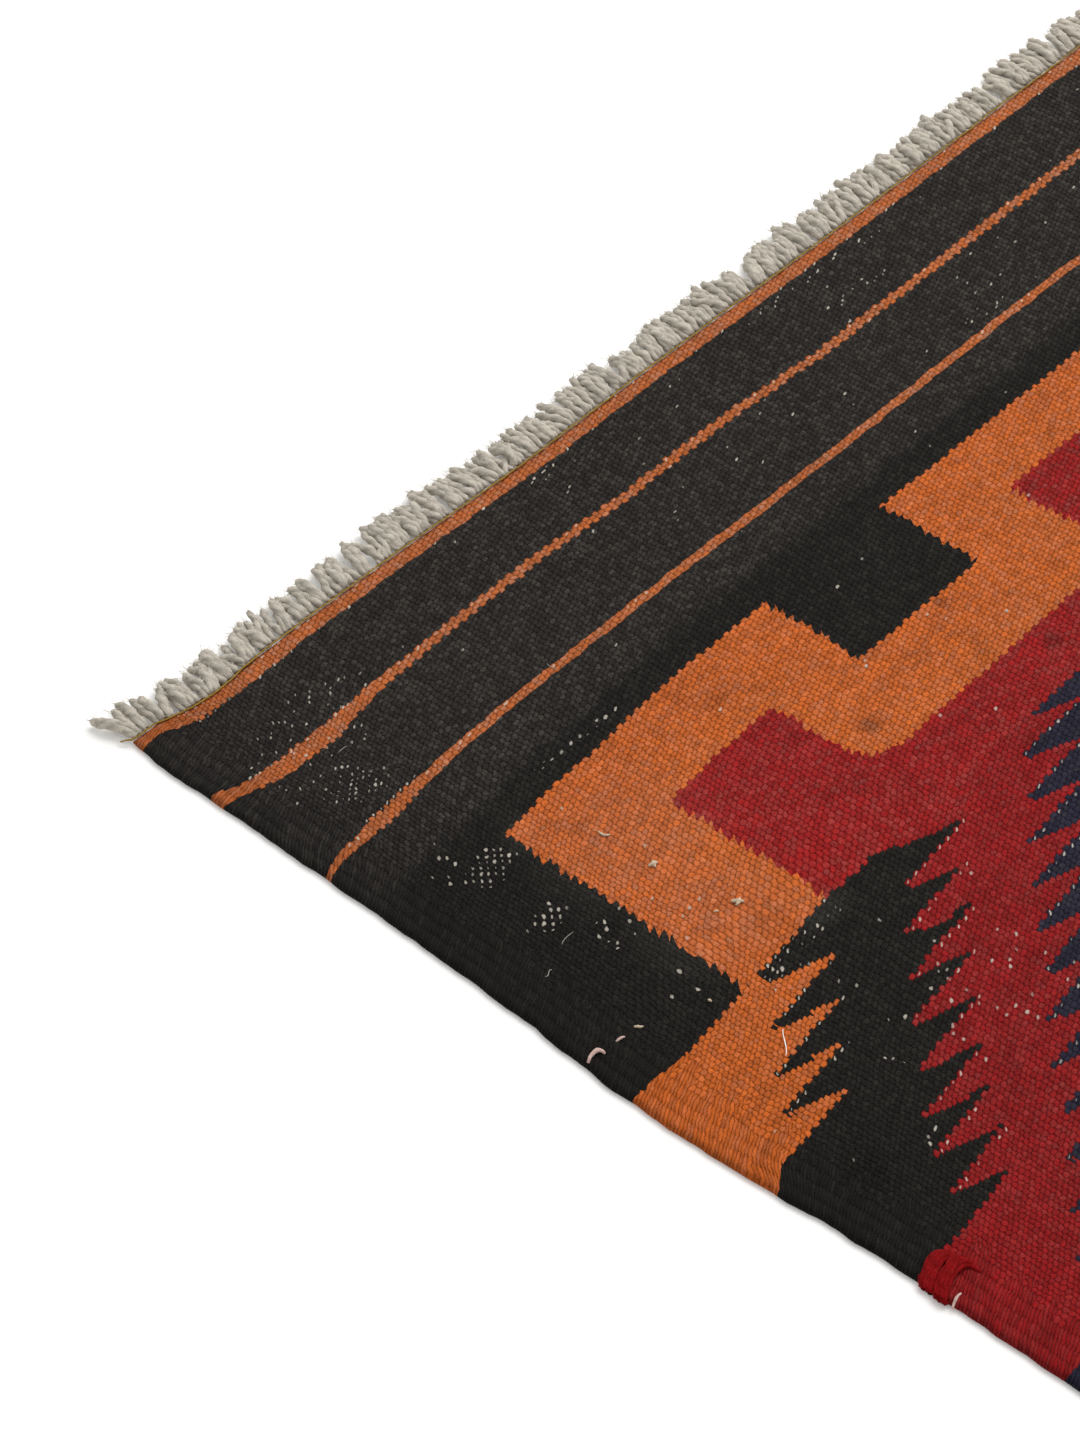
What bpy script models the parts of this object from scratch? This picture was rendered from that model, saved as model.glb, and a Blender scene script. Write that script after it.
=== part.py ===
"""A flat-woven kilim rug with a short warp fringe, lying flat.

Metres, +Z up. X runs along the weft, across the rug, and Y along the warp, from fringe to fringe. The origin is
the middle of the underside. The cloth is one woven sheet with thick rounded edges, and its outline wanders as a
hand-woven one does: drawn in at the corners, swelling and dipping a few millimetres along the sides. The fringe
at each end is one comb of warp bunches, lying a hair's breadth off the end of the cloth.
"""

import math
import random

import bmesh
import bpy

# Cloth
CLOTH_WIDTH = 1.250  # between the mean lines of the two side edges
CLOTH_LENGTH = 1.900  # between the mean lines of the two ends
CLOTH_THICKNESS = 0.0024
EDGE_ROUNDING = 0.0007  # how far the edges are cut back above and below

# Weave and fringe
WARP_PITCH = 0.0024
WARPS_PER_BUNCH = 4
BUNCH_PITCH = WARP_PITCH * WARPS_PER_BUNCH
FRINGE_REACH = 0.0175  # from the end of the cloth to the longest tips
FRINGE_UNEVENNESS = 0.0035  # how much shorter the shortest bunches are
FRINGE_THICKNESS = 0.0026
HEADING_DEPTH = 0.0030  # where the bunches still touch, beside the cloth
BUNCH_ROOT_SHARE = 0.70  # of the pitch that a bunch fills at its root
BUNCH_TIP_SHARE = 0.86  # and at its tips, where the yarns spread
BUNCH_LEAN = 0.0011  # how far a bunch's tips lie to one side at most
CORNER_LEAN = 0.0022  # how far the last bunches lean outwards
CORNER_BUNCHES = 2
FRINGE_GAP = 0.00033

# Corners: how far the side edges are drawn in at the very end, and over what length they ease out
CORNER_DRAW_IN = 0.0035
CORNER_DRAW_LENGTH = 0.110
TIP_DRAW_IN = 0.0025
TIP_DRAW_LENGTH = 0.010

# Soft swells of the side edges: how far along from the back end, the length over which they fade, outward amount
SIDE_COLUMNS = ("from_back", "fade", "outward")
SIDE_SWELLS = {
    "left": (
        (0.030, 0.035, -0.0006),
        (0.105, 0.095, -0.0025),
        (0.175, 0.030, -0.0005),
        (0.228, 0.050, 0.0032),
        (0.264, 0.022, 0.0007),
        (0.320, 0.050, -0.0009),
        (0.640, 0.130, -0.0020),
        (1.150, 0.090, 0.0024),
        (1.560, 0.080, -0.0018),
    ),
    "right": (
        (0.330, 0.090, -0.0022),
        (0.760, 0.070, 0.0032),
        (1.330, 0.110, -0.0020),
        (1.640, 0.060, 0.0020),
    ),
}

# Soft waves of the ends: how far along from the left edge, the length over which they fade, inward amount
END_COLUMNS = ("from_left", "fade", "inward")
END_WAVES = {
    "back": (
        (0.006, 0.010, -0.0026),
        (0.034, 0.016, 0.0026),
        (0.195, 0.045, 0.0012),
        (0.530, 0.110, -0.0022),
        (0.850, 0.090, 0.0016),
        (1.215, 0.020, 0.0024),
        (1.244, 0.010, -0.0024),
    ),
    "front": (
        (0.006, 0.010, -0.0022),
        (0.040, 0.020, 0.0024),
        (0.420, 0.100, 0.0018),
        (0.780, 0.120, -0.0020),
        (1.212, 0.018, 0.0026),
        (1.245, 0.010, -0.0026),
    ),
}

# Spacing of the points along the side edges, closer near the corners
FINE_STEP = 0.006
COARSE_STEP = 0.030
FINE_STRETCH = 0.060

FRINGE_SEED = {"back": 11, "front": 23}

CLOTH_FINISH = {"colour": (0.055, 0.040, 0.032), "roughness": 0.9}
FRINGE_FINISH = {"colour": (0.46, 0.43, 0.37), "roughness": 0.95}


def clear_scene():
    for thing in list(bpy.data.objects):
        bpy.data.objects.remove(thing, do_unlink=True)


def make_material(name, finish):
    material = bpy.data.materials.new(name)
    material.use_nodes = True
    shader = material.node_tree.nodes["Principled BSDF"]
    shader.inputs["Base Color"].default_value = (*finish["colour"], 1.0)
    shader.inputs["Roughness"].default_value = finish["roughness"]
    shader.inputs["Metallic"].default_value = 0.0
    return material


def add_object(name, mesh_builder, finish):
    mesh = bpy.data.meshes.new(name)
    mesh_builder.normal_update()
    mesh_builder.to_mesh(mesh)
    mesh_builder.free()
    mesh.materials.append(make_material(name + "_wool", finish))
    thing = bpy.data.objects.new(name, mesh)
    bpy.context.scene.collection.objects.link(thing)
    return thing


def swell(rows, columns, place):
    """The sum of soft bumps at a place, from rows of where, fade and amount."""
    where, fade, amount = columns
    total = 0.0
    for row in rows:
        bump = dict(zip(columns, row))
        total += bump[amount] * math.exp(-(((place - bump[where]) / bump[fade]) ** 2))
    return total


def side_outward(side, from_back):
    """How far a side edge stands out from its mean line."""
    to_corner = min(from_back, CLOTH_LENGTH - from_back)
    drawn = CORNER_DRAW_IN * math.exp(-((to_corner / CORNER_DRAW_LENGTH) ** 2))
    drawn += TIP_DRAW_IN * math.exp(-((to_corner / TIP_DRAW_LENGTH) ** 2))
    return swell(SIDE_SWELLS[side], SIDE_COLUMNS, from_back) - drawn


def side_stations():
    """Distances along a side edge, closer together near both corners."""
    near = [FINE_STEP * i for i in range(round(FINE_STRETCH / FINE_STEP))]
    middle = CLOTH_LENGTH - 2 * FINE_STRETCH
    count = round(middle / COARSE_STEP)
    far = [FINE_STRETCH + middle * i / count for i in range(count + 1)]
    return near + far + [CLOTH_LENGTH - s for s in reversed(near)]


def side_edge(side):
    """Points (x, y) of a side edge from the back end to the front end."""
    sign = -1 if side == "left" else 1
    points = []
    for along in side_stations():
        x = sign * (CLOTH_WIDTH / 2 + side_outward(side, along))
        points.append((x, CLOTH_LENGTH / 2 - along))
    return points


def end_edge(end):
    """Points (x, y) of an end of the cloth, left to right, one between each two bunches of the fringe."""
    sign = 1 if end == "back" else -1
    corner = 0.0 if end == "back" else CLOTH_LENGTH
    left_x = -CLOTH_WIDTH / 2 - side_outward("left", corner)
    right_x = CLOTH_WIDTH / 2 + side_outward("right", corner)
    count = round((right_x - left_x) / BUNCH_PITCH)
    points = []
    for i in range(count + 1):
        along = CLOTH_WIDTH * i / count
        x = left_x + (right_x - left_x) * i / count
        y = sign * (CLOTH_LENGTH / 2 - swell(END_WAVES[end], END_COLUMNS, along))
        points.append((x, y))
    return points


def cloth_outline():
    """The rug's outline anticlockwise from the back left corner, as (left, front, right, back) edges."""
    back, front = end_edge("back"), end_edge("front")
    left, right = side_edge("left"), side_edge("right")
    left[0], left[-1] = back[0], front[0]
    right[0], right[-1] = back[-1], front[-1]
    return left, front[1:-1], right[::-1], back[-2:0:-1]


def inset(loop, amount):
    """The loop's points moved inwards square to the outline."""
    moved = []
    for i, (x, y) in enumerate(loop):
        before, after = loop[i - 1], loop[(i + 1) % len(loop)]
        along_x, along_y = after[0] - before[0], after[1] - before[1]
        size = math.hypot(along_x, along_y)
        moved.append((x - amount * along_y / size, y + amount * along_x / size))
    return moved


def build_cloth():
    """One flat sheet with rounded edges: rings of the outline, closed above and below by strips across."""
    left, front, right, back = cloth_outline()
    loop = left + front + right + back
    levels = (
        (EDGE_ROUNDING, 0.0),
        (0.0, EDGE_ROUNDING),
        (0.0, CLOTH_THICKNESS - EDGE_ROUNDING),
        (EDGE_ROUNDING, CLOTH_THICKNESS),
    )
    mesh = bmesh.new()
    rings = []
    for cut_back, z in levels:
        rings.append([mesh.verts.new((x, y, z)) for x, y in inset(loop, cut_back)])
    for lower, upper in zip(rings, rings[1:]):
        for i in range(len(loop)):
            j = (i + 1) % len(loop)
            mesh.faces.new((lower[i], lower[j], upper[j], upper[i]))
    close_sheet(mesh, rings[0], len(left), len(front), downwards=True)
    close_sheet(mesh, rings[-1], len(left), len(front), downwards=False)
    return add_object("rug_cloth", mesh, CLOTH_FINISH)


def close_sheet(mesh, ring, side_count, end_count, downwards):
    """Faces across the sheet: one strip for each step along the sides, and a fan-shaped one at each end."""
    left = ring[:side_count]
    front = ring[side_count : side_count + end_count]
    right = ring[side_count + end_count : 2 * side_count + end_count][::-1]
    back = ring[2 * side_count + end_count :]
    faces = [[left[0], left[1], right[1], right[0], *back]]
    for i in range(1, side_count - 2):
        faces.append([left[i], left[i + 1], right[i + 1], right[i]])
    faces.append([left[-2], left[-1], *front, right[-1], right[-2]])
    for face in faces:
        mesh.faces.new(face[::-1] if downwards else face)


def bunch_tips(end, count):
    """For each bunch, how far its tips lie from the cloth and how far they lean along X."""
    draw = random.Random(FRINGE_SEED[end])
    tips = []
    for i in range(count):
        reach = FRINGE_REACH - FRINGE_UNEVENNESS * draw.random() ** 2
        lean = BUNCH_LEAN * draw.uniform(-1, 1)
        if i < CORNER_BUNCHES:
            lean = -CORNER_LEAN
        if i >= count - CORNER_BUNCHES:
            lean = CORNER_LEAN
        tips.append((reach, lean))
    return tips


def build_fringe(end):
    """One comb: a narrow heading that follows the end of the cloth, and a flat tooth for each bunch of warps."""
    edge = end_edge(end)
    sign = 1 if end == "back" else -1
    count = len(edge) - 1
    mesh = bmesh.new()

    def post(x, y):
        """A pair of points, one on the floor and one above it."""
        return tuple(mesh.verts.new((x, y, z)) for z in (0.0, FRINGE_THICKNESS))

    def wall(start, stop):
        """The upright face between two posts."""
        corners = [start[0], stop[0], stop[1], start[1]]
        mesh.faces.new(corners if sign > 0 else corners[::-1])

    def plate(*posts):
        """The face above and the face below between posts."""
        above, below = [p[1] for p in posts], [p[0] for p in posts][::-1]
        for corners in (above, below):
            mesh.faces.new(corners if sign > 0 else corners[::-1])

    inner = [post(x, y + sign * FRINGE_GAP) for x, y in edge]
    last_root = None
    for i, (reach, lean) in enumerate(bunch_tips(end, count)):
        (x0, y0), (x1, y1) = edge[i], edge[i + 1]
        middle, pitch, out = (x0 + x1) / 2, x1 - x0, (y0 + y1) / 2 + sign * FRINGE_GAP
        root, tip = pitch * BUNCH_ROOT_SHARE / 2, pitch * BUNCH_TIP_SHARE / 2
        left_root = post(middle - root, out + sign * HEADING_DEPTH)
        right_root = post(middle + root, out + sign * HEADING_DEPTH)
        left_tip = post(middle + lean - tip, out + sign * reach)
        right_tip = post(middle + lean + tip, out + sign * reach)
        plate(inner[i], inner[i + 1], right_root, left_root)
        plate(left_root, right_root, right_tip, left_tip)
        wall(inner[i], inner[i + 1])
        wall(right_root, right_tip)
        wall(right_tip, left_tip)
        wall(left_tip, left_root)
        if last_root is None:
            wall(left_root, inner[i])
        else:
            plate(inner[i], left_root, last_root)
            wall(left_root, last_root)
        last_root = right_root
    wall(inner[-1], last_root)
    return add_object("fringe_" + end, mesh, FRINGE_FINISH)


clear_scene()
build_cloth()
build_fringe("back")
build_fringe("front")
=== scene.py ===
"""A worn flat-woven kilim rug with a short plied fringe, lying flat on a pale floor.

Metres, +Z up, X along the weft and Y along the warp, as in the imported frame. The pattern is worked out in
millimetres on the cloth itself: "across" is counted from the nearer side edge, along the weft, and "along"
from the nearer end of the cloth, along the warp, as the picks lie.

The pattern and its wear are mirrored in all four corners, while the outline, the fringe and a slow wander of
the picks differ. Only the back left corner, which the photograph shows, has the mend and the lint.
"""

import functools
import math
import random

import bpy
import numpy as np
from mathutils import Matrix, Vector
from mathutils.bvhtree import BVHTree


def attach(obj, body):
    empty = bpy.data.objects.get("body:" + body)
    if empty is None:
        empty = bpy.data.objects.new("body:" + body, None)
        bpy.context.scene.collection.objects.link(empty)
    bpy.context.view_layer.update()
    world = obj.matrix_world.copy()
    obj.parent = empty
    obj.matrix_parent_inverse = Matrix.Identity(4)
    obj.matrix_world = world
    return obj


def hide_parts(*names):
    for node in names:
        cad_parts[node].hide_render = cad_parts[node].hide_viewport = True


bl_info = {
    "name": "Kilim Rug",
    "version": (1, 0, 0),
    "blender": (4, 5, 0),
    "location": "View3D > Sidebar > Kilim",
    "description": "Weaves a striped kilim with a stepped border, serrated lozenges and a plied fringe",
    "category": "Add Mesh",
}

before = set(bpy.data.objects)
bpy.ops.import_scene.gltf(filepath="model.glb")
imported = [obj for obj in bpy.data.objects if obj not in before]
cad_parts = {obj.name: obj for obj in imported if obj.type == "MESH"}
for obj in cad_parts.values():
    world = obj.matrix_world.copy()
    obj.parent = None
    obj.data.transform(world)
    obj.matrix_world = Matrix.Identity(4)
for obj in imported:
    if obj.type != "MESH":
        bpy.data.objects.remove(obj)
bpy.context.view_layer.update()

MM = 0.001  # metres

# The weave. Half the rug is a whole number and a half of warps wide, so that the middle warp is whole.
HALF_WIDTH, HALF_LENGTH = 625.0, 950.0
WARPS_ACROSS_HALF, BEADS_ALONG_HALF = 260.5, 495
WARP_PITCH = HALF_WIDTH / WARPS_ACROSS_HALF
# Each warp shows every second pick, as a bead of wool two picks long
BEAD_LENGTH = HALF_LENGTH / BEADS_ALONG_HALF
SELVEDGE_WARPS = 8  # in pairs, so that the beads there are twice as wide
SELVEDGE_WIDTH = SELVEDGE_WARPS * WARP_PITCH
SELVEDGE_BEAD = BEAD_LENGTH * 2 / 3
BEAD_SLANT = 0.12  # of a bead's length that a bead climbs across its warp
SELVEDGE_SLANT, END_SLANT_SHARE = 1.60, 0.45  # and how much of it there is at the very end of the cloth
BEAD_FALL = (2.8, 3.4)  # how fast a bead's top falls away across and along it
SELVEDGE_FALL = -0.6  # so much less across the flatter beads of the selvedge
BEAD_TOP, BEAD_GAP = 0.12, 1.50  # where that fall starts and ends
SLOW_SWAY, BRISK_SWAY = (1.8, 1.6, 0.0), (1.2, 0.8, 0.0)  # mm from end to end that columns and rows stray
CROWDING, CROWDED_WIDTH = 0.2, 50.0  # the warps next to the selvedge lie this much closer, over this width
# How much loose pale fibre each yarn carries, which also sets the painted sheen on its beads
HAIR_AND_SHEEN = {"brown": 0.68, "black": 0.25, "rust": 2.0, "orange": 1.15, "red": 0.65, "crimson": 0.43, "navy": 0.3}

# The pattern, from the end of the cloth inwards. A swell is how much thicker, where across, and its reach.
END_BAND = 6.6
END_BAND_SWELLS = ((-1.4, 0.0, 22.0),)
STRIPES = (
    {"along": 38.7, "half": 1.95, "swells": ((2.1, 50.0, 22.0), (1.0, 22.0, 13.0), (1.0, 2.0, 4.0))},
    {"along": 78.7, "half": 1.85, "swells": ((-0.85, 3.0, 12.0), (0.7, 40.0, 12.0))},
)
BLACK_FROM = 98.0  # the skirt's brown-black gives way to a deeper black yarn here
BORDER_TOP = 110.4
NOTCH_DEPTH = 41.6
BORDER_REPEAT = 197.3
FIRST_BUMP = 130.0
BLOCK_HALF = 66.0
SIDE_BLOCK = 56.0
RED_FROM = 187.5
RED_SIDE = 103.0
BUMP_HALF, BUMP_TOP, TALL_BUMP_TOP = 28.3, 145.0, 136.5
BUMP_FLARE, BUMP_FLARE_REACH = 15.0, 4.5
FIELD_FROM = 210.5
# The field's edge near the corner: along, slope, and across from where it slopes
FIELD_RAMPS = ((201.8, 0.0, 0.0), (201.8, 0.12, 104.0), (205.7, 0.43, 131.0))
RAMPS_UNTIL = 172.0

# The lozenges: edges that step 14.5 mm towards the side for every tooth, each tooth 40 mm long
TOOTH_LENGTH = 11.05
TOOTH_REACH = 40.0
TOOTH_STEP = 14.5
TOOTH_HOLLOW = 1.25  # more than 1 hollows the slanting side of a tooth
TOOTH_START = 219.2
FIRST_TOOTH = -1.0
LOZENGE_CYCLE = 280.0
LOZENGE_EDGES = ((49.3, -0.13), (122.0, 0.0), (194.6, 0.04), (260.0, 0.50))  # across, and shift in teeth
LAST_TOOTH_AT = 15.0  # a tooth that would start nearer the side than this is left out
JOIN_SPIKE, JOIN_RAGGED = 1.7, 1.8  # how far the picks of two colours reach past their join
JOIN_SLANT = 0.7
# Where the teeth near the side lie further in: across, along, reach across and along, and how far
TOOTH_SHIFTS = ((35.0, 247.0, 25.0, 14.0, 5.0), (32.0, 303.0, 35.0, 18.0, 11.0))

# How far the picks lag towards the middle of the rug, measured from the photograph: across, lag
INNER_LAG = ((56, 17.2), (102, 12.0), (152, 6.0), (202, 0.8), (240, 0.0), (625, 0.0))
PICK_LAG = {
    39.0: ((0, -1.5), (5, 0.0), (9, 1.2), (13, 2.8), (20, 3.8), (28, 5.2), (37, 5.4), (47, 5.3), (57, 4.8),
           (68, 3.3), (78, 1.9), (88, 0.6), (102, 0.6), (142, -0.7), (162, -0.9), (192, 0.1), (207, 1.1),
           (227, -0.2), (247, -0.7), (267, -0.2), (287, 0.8), (302, 2.3), (317, 2.6), (332, 1.3), (372, 2.3),
           (402, 1.0), (625, 0)),
    79.0: ((0, 12.0), (5, 9.6), (12, 7.6), (19, 6.7), (26, 6.3), (33, 5.4), (38, 5.2), (52, 3.6), (62, 2.3),
           (82, 1.3), (122, 0.3), (162, -0.2), (202, -0.2), (242, 0.3), (282, 0.3), (322, -0.2), (362, -0.9),
           (402, -0.7), (625, 0.6)),
    115.0: ((0, 13.0), (30, 11.0), (54, 8.6), (62, 6.6), (82, 4.4), (102, 4.2), (122, 2.6), (135, 0.6),
            (152, 0.0), (190, 0.0), (255, -1.6), (402, -1.0), (625, 0.0)),
    145.0: ((0, 13.0), (56, 7.5), (103, 3.0), (127, 0.5), (160, 0.0), (625, 0.0)),
    187.0: ((0, 15.0), (56, 10.5), (102, 6.0), (152, 1.2), (202, 0.0), (262, -1.6), (625, 0.0)),
    214.0: ((0, 21.0), (9, 21.0), (22, 21.3), (31, 20.3), (41, 19.1), *INNER_LAG),
    262.0: ((0, 24.0), (9, 22.5), (22, 21.3), *INNER_LAG),
    277.0: ((0, 29.5), (4, 24.5), (9, 22.5), (22, 21.3), *INNER_LAG),
    300.0: ((0, 23.0), (22, 21.8), (56, 17.4), *INNER_LAG[1:]),
    420.0: ((0, 22.0), (22, 21.8), (56, 17.5), (102, 12.0), (152, 6.0), (202, 1.0), *INNER_LAG[4:]),
    900.0: ((0, 0.0), (625, 0.0)),
}
LAG_GRID = 2.0
LAG_SMOOTHING = 7

PALE_FIBRE = "#CFC8BB"  # sRGB, of loose undyed wool


def linear(text):
    """The linear colour of an sRGB hex text, with alpha."""
    parts = [int(text[i : i + 2], 16) / 255 for i in (1, 3, 5)]
    return (*(p / 12.92 if p <= 0.04045 else ((p + 0.055) / 1.055) ** 2.4 for p in parts), 1.0)


def add_node(tree, kind, *inputs, out=0, **settings):
    """Adds a node, whose operation may follow its kind after a dot, and gives one of its outputs.

    Inputs are links or values, in order or by name in one dictionary.
    """
    kind, _, operation = kind.partition(".")
    node = tree.nodes.new("ShaderNode" + kind)
    if operation:
        node.operation = operation
    for name, value in settings.items():
        setattr(node, name, value)
    named = inputs[0] if inputs and isinstance(inputs[0], dict) else dict(enumerate(inputs))
    by_id = {socket.identifier: socket for socket in node.inputs}
    for key, value in named.items():
        socket = node.inputs[key] if isinstance(key, int) else by_id.get(key) or node.inputs[key]
        if isinstance(value, bpy.types.NodeSocket):
            tree.links.new(value, socket)
        else:
            socket.default_value = value
    return node.outputs[out] if len(node.outputs) else node


def new_material(name):
    """An empty node material, and a way to add nodes to it."""
    material = bpy.data.materials.new(name)
    material.use_nodes = True
    material.node_tree.nodes.clear()
    return material, functools.partial(add_node, material.node_tree)


def add_piece(name, points, faces, material, smooth=True):
    """A mesh object in the row frame from arrays of points and faces."""
    mesh = bpy.data.meshes.new(name)
    mesh.from_pydata(points, [], faces)
    mesh.update()
    mesh.polygons.foreach_set("use_smooth", [smooth] * len(mesh.polygons))
    mesh.materials.append(material)
    piece = bpy.data.objects.new(name, mesh)
    bpy.context.scene.collection.objects.link(piece)
    return piece


def ease(low, high, value):
    """A smooth step from 0 at low to 1 at high."""
    t = np.clip((np.asarray(value, float) - low) / (high - low), 0, 1)
    return t * t * (3 - 2 * t)


def in_corner(across, along, height=0.0):
    """The place in metres that is so many mm from the left side, from the back end and above the floor."""
    return Vector(((across - HALF_WIDTH) * MM, (HALF_LENGTH - along) * MM, height * MM))


# --------------------------------------------------------------------------------------------------
# What a user may change


def dye_prop(name, description, text):
    """A colour that a user may change, given as an sRGB hex text."""
    return bpy.props.FloatVectorProperty(
        name=name, description=description, subtype="COLOR", size=4, default=linear(text)
    )


def length_prop(name, description, usual, least, most):
    """A length that a user may change, given in mm."""
    return bpy.props.FloatProperty(
        name=name, description=description, default=usual * MM, min=least * MM, max=most * MM, unit="LENGTH"
    )


class KilimColours(bpy.types.PropertyGroup):
    orange: dye_prop("Orange", "Madder orange of the border", "#B25418")
    rust: dye_prop("Rust", "Deeper orange of the end band and the stripes", "#A14F19")
    red: dye_prop("Red", "Madder red of the border", "#850E10")
    crimson: dye_prop("Crimson", "Madder red of the lozenges", "#7F1013")
    black: dye_prop("Black", "Black wool of the blocks and lozenges", "#161513")
    brown: dye_prop("Brown-black", "Brown-black wool of the striped skirt", "#1B1817")
    navy: dye_prop("Navy", "Indigo wool of the inner lozenges", "#1E1D2C")
    undyed: dye_prop("Undyed", "Warp and fringe yarn", "#B6AEA1")
    olive: dye_prop("Olive", "Thread oversewn along both ends", "#9A7C36")


class KilimSizes(bpy.types.PropertyGroup):
    yarn_radius: length_prop("Fringe yarn radius", "Half the thickness of a plied warp end", 1.36, 0.3, 3)
    fringe_length: length_prop("Fringe length", "From the end of the cloth to the longest tips", 18.3, 5, 20)
    thread_radius: length_prop("Edge thread radius", "Half the thickness of the olive thread", 0.33, 0.1, 2)
    cloth_thickness: length_prop("Cloth thickness", "Of the cloth away from its selvedges", 2.1, 1, 5)
    relief: length_prop("Weave relief", "From the top of a bead to the gap beside it", 0.55, 0, 2)


# --------------------------------------------------------------------------------------------------
# Materials

# Wear, measured from the photograph: across, along, half the width and half the length of the place in mm,
# and the share of the warp that shows there
BARE_PLACES = (
    (42, 125, 13, 9, 1.0), (38, 153, 11, 8, 0.80), (43, 69, 12, 7, 0.85), (40, 62, 13, 12, 0.32),
    (54, 30, 34, 9, 0.22), (40, 50, 36, 32, 0.12), (48, 172, 14, 9, 0.20), (62, 186, 22, 10, 0.12),
    (105, 107, 26, 1.6, 0.8), (197, 10.5, 8, 3, 0.7), (352, 10.5, 60, 3, 0.25), (355, 28, 24, 3, 0.4),
    (370, 70, 14, 3, 0.4), (70, 225, 12, 7, 0.22), (33, 112, 14, 14, 0.22), (90, 268, 34, 34, 0.10),
    (45, 300, 16, 14, 0.1), (50, 200, 14, 14, 0.08), (215, 160, 50, 14, 0.04), (300, 40, 340, 50, 0.012),
    (120, 280, 20, 30, 0.08),
)
BARE_ANYWHERE = 0.004
BARE_ROWS = (2.55, 3.9)  # mm between bare warps up and down their column, in the skirt and past it
# Of a dash of bare warp: half its width in mm, half its height in the skirt and past it, and its slant
BARE_DASH = (1.05, 0.48, 0.72, 0.35)
# How often the warp shows at the edge of a band, nearer to the side than "from" and further in than "to"
GLINT_SHARE = {"near": 0.85, "far": 0.22, "from": 84.0, "to": 125.0}
STEP_SHARE = 0.62  # and along the edge of a tooth
# Stains and dusty places, laid out like the bare ones, with how dark or how dusty each is
STAINS = ((174, 175, 6, 5, 0.40), (237, 155, 4, 4, 0.35), (247, 195, 6, 5, 0.30), (150, 128, 9, 7, 0.15),
          (22, 296, 12, 12, 0.35))
DUSTY = ((82, 150, 40, 34, 0.05), (74, 190, 34, 26, 0.05), (98, 216, 14, 8, 0.05), (62, 124, 12, 10, 0.05))
FUZZ_AND_SHEEN, LUCKY_FUZZ_AND_SHEEN = 0.032, 0.080  # loose pale fibre and painted sheen on any bead's top, and how much more on the hairiest
SIDE_FUZZ_AND_SHEEN = 0.60  # of the loose fibre and painted sheen further in, where the strokes of the selvedge lie close
BEAD_SPREAD = 0.34  # how much lighter the lightest bead is than the darkest
PAINTED_TOP_LIGHT, PAINTED_GAP_SHADE, GAP_SPREAD = 1.12, 0.44, 0.22  # of the dye: a painted highlight on a bead's top, painted shade in the gaps, and how that varies
SIDE_GAP, SIDE_SHADE = 0.20, -0.09  # added at the selvedge: to the painted shade of the gaps, and to the brightness of all of it
PAINTED_RIM_SHADE, RIM_WIDTH = 0.78, 2.4  # painted shade at the very side, where the edge turns down, fading over so many mm


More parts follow.
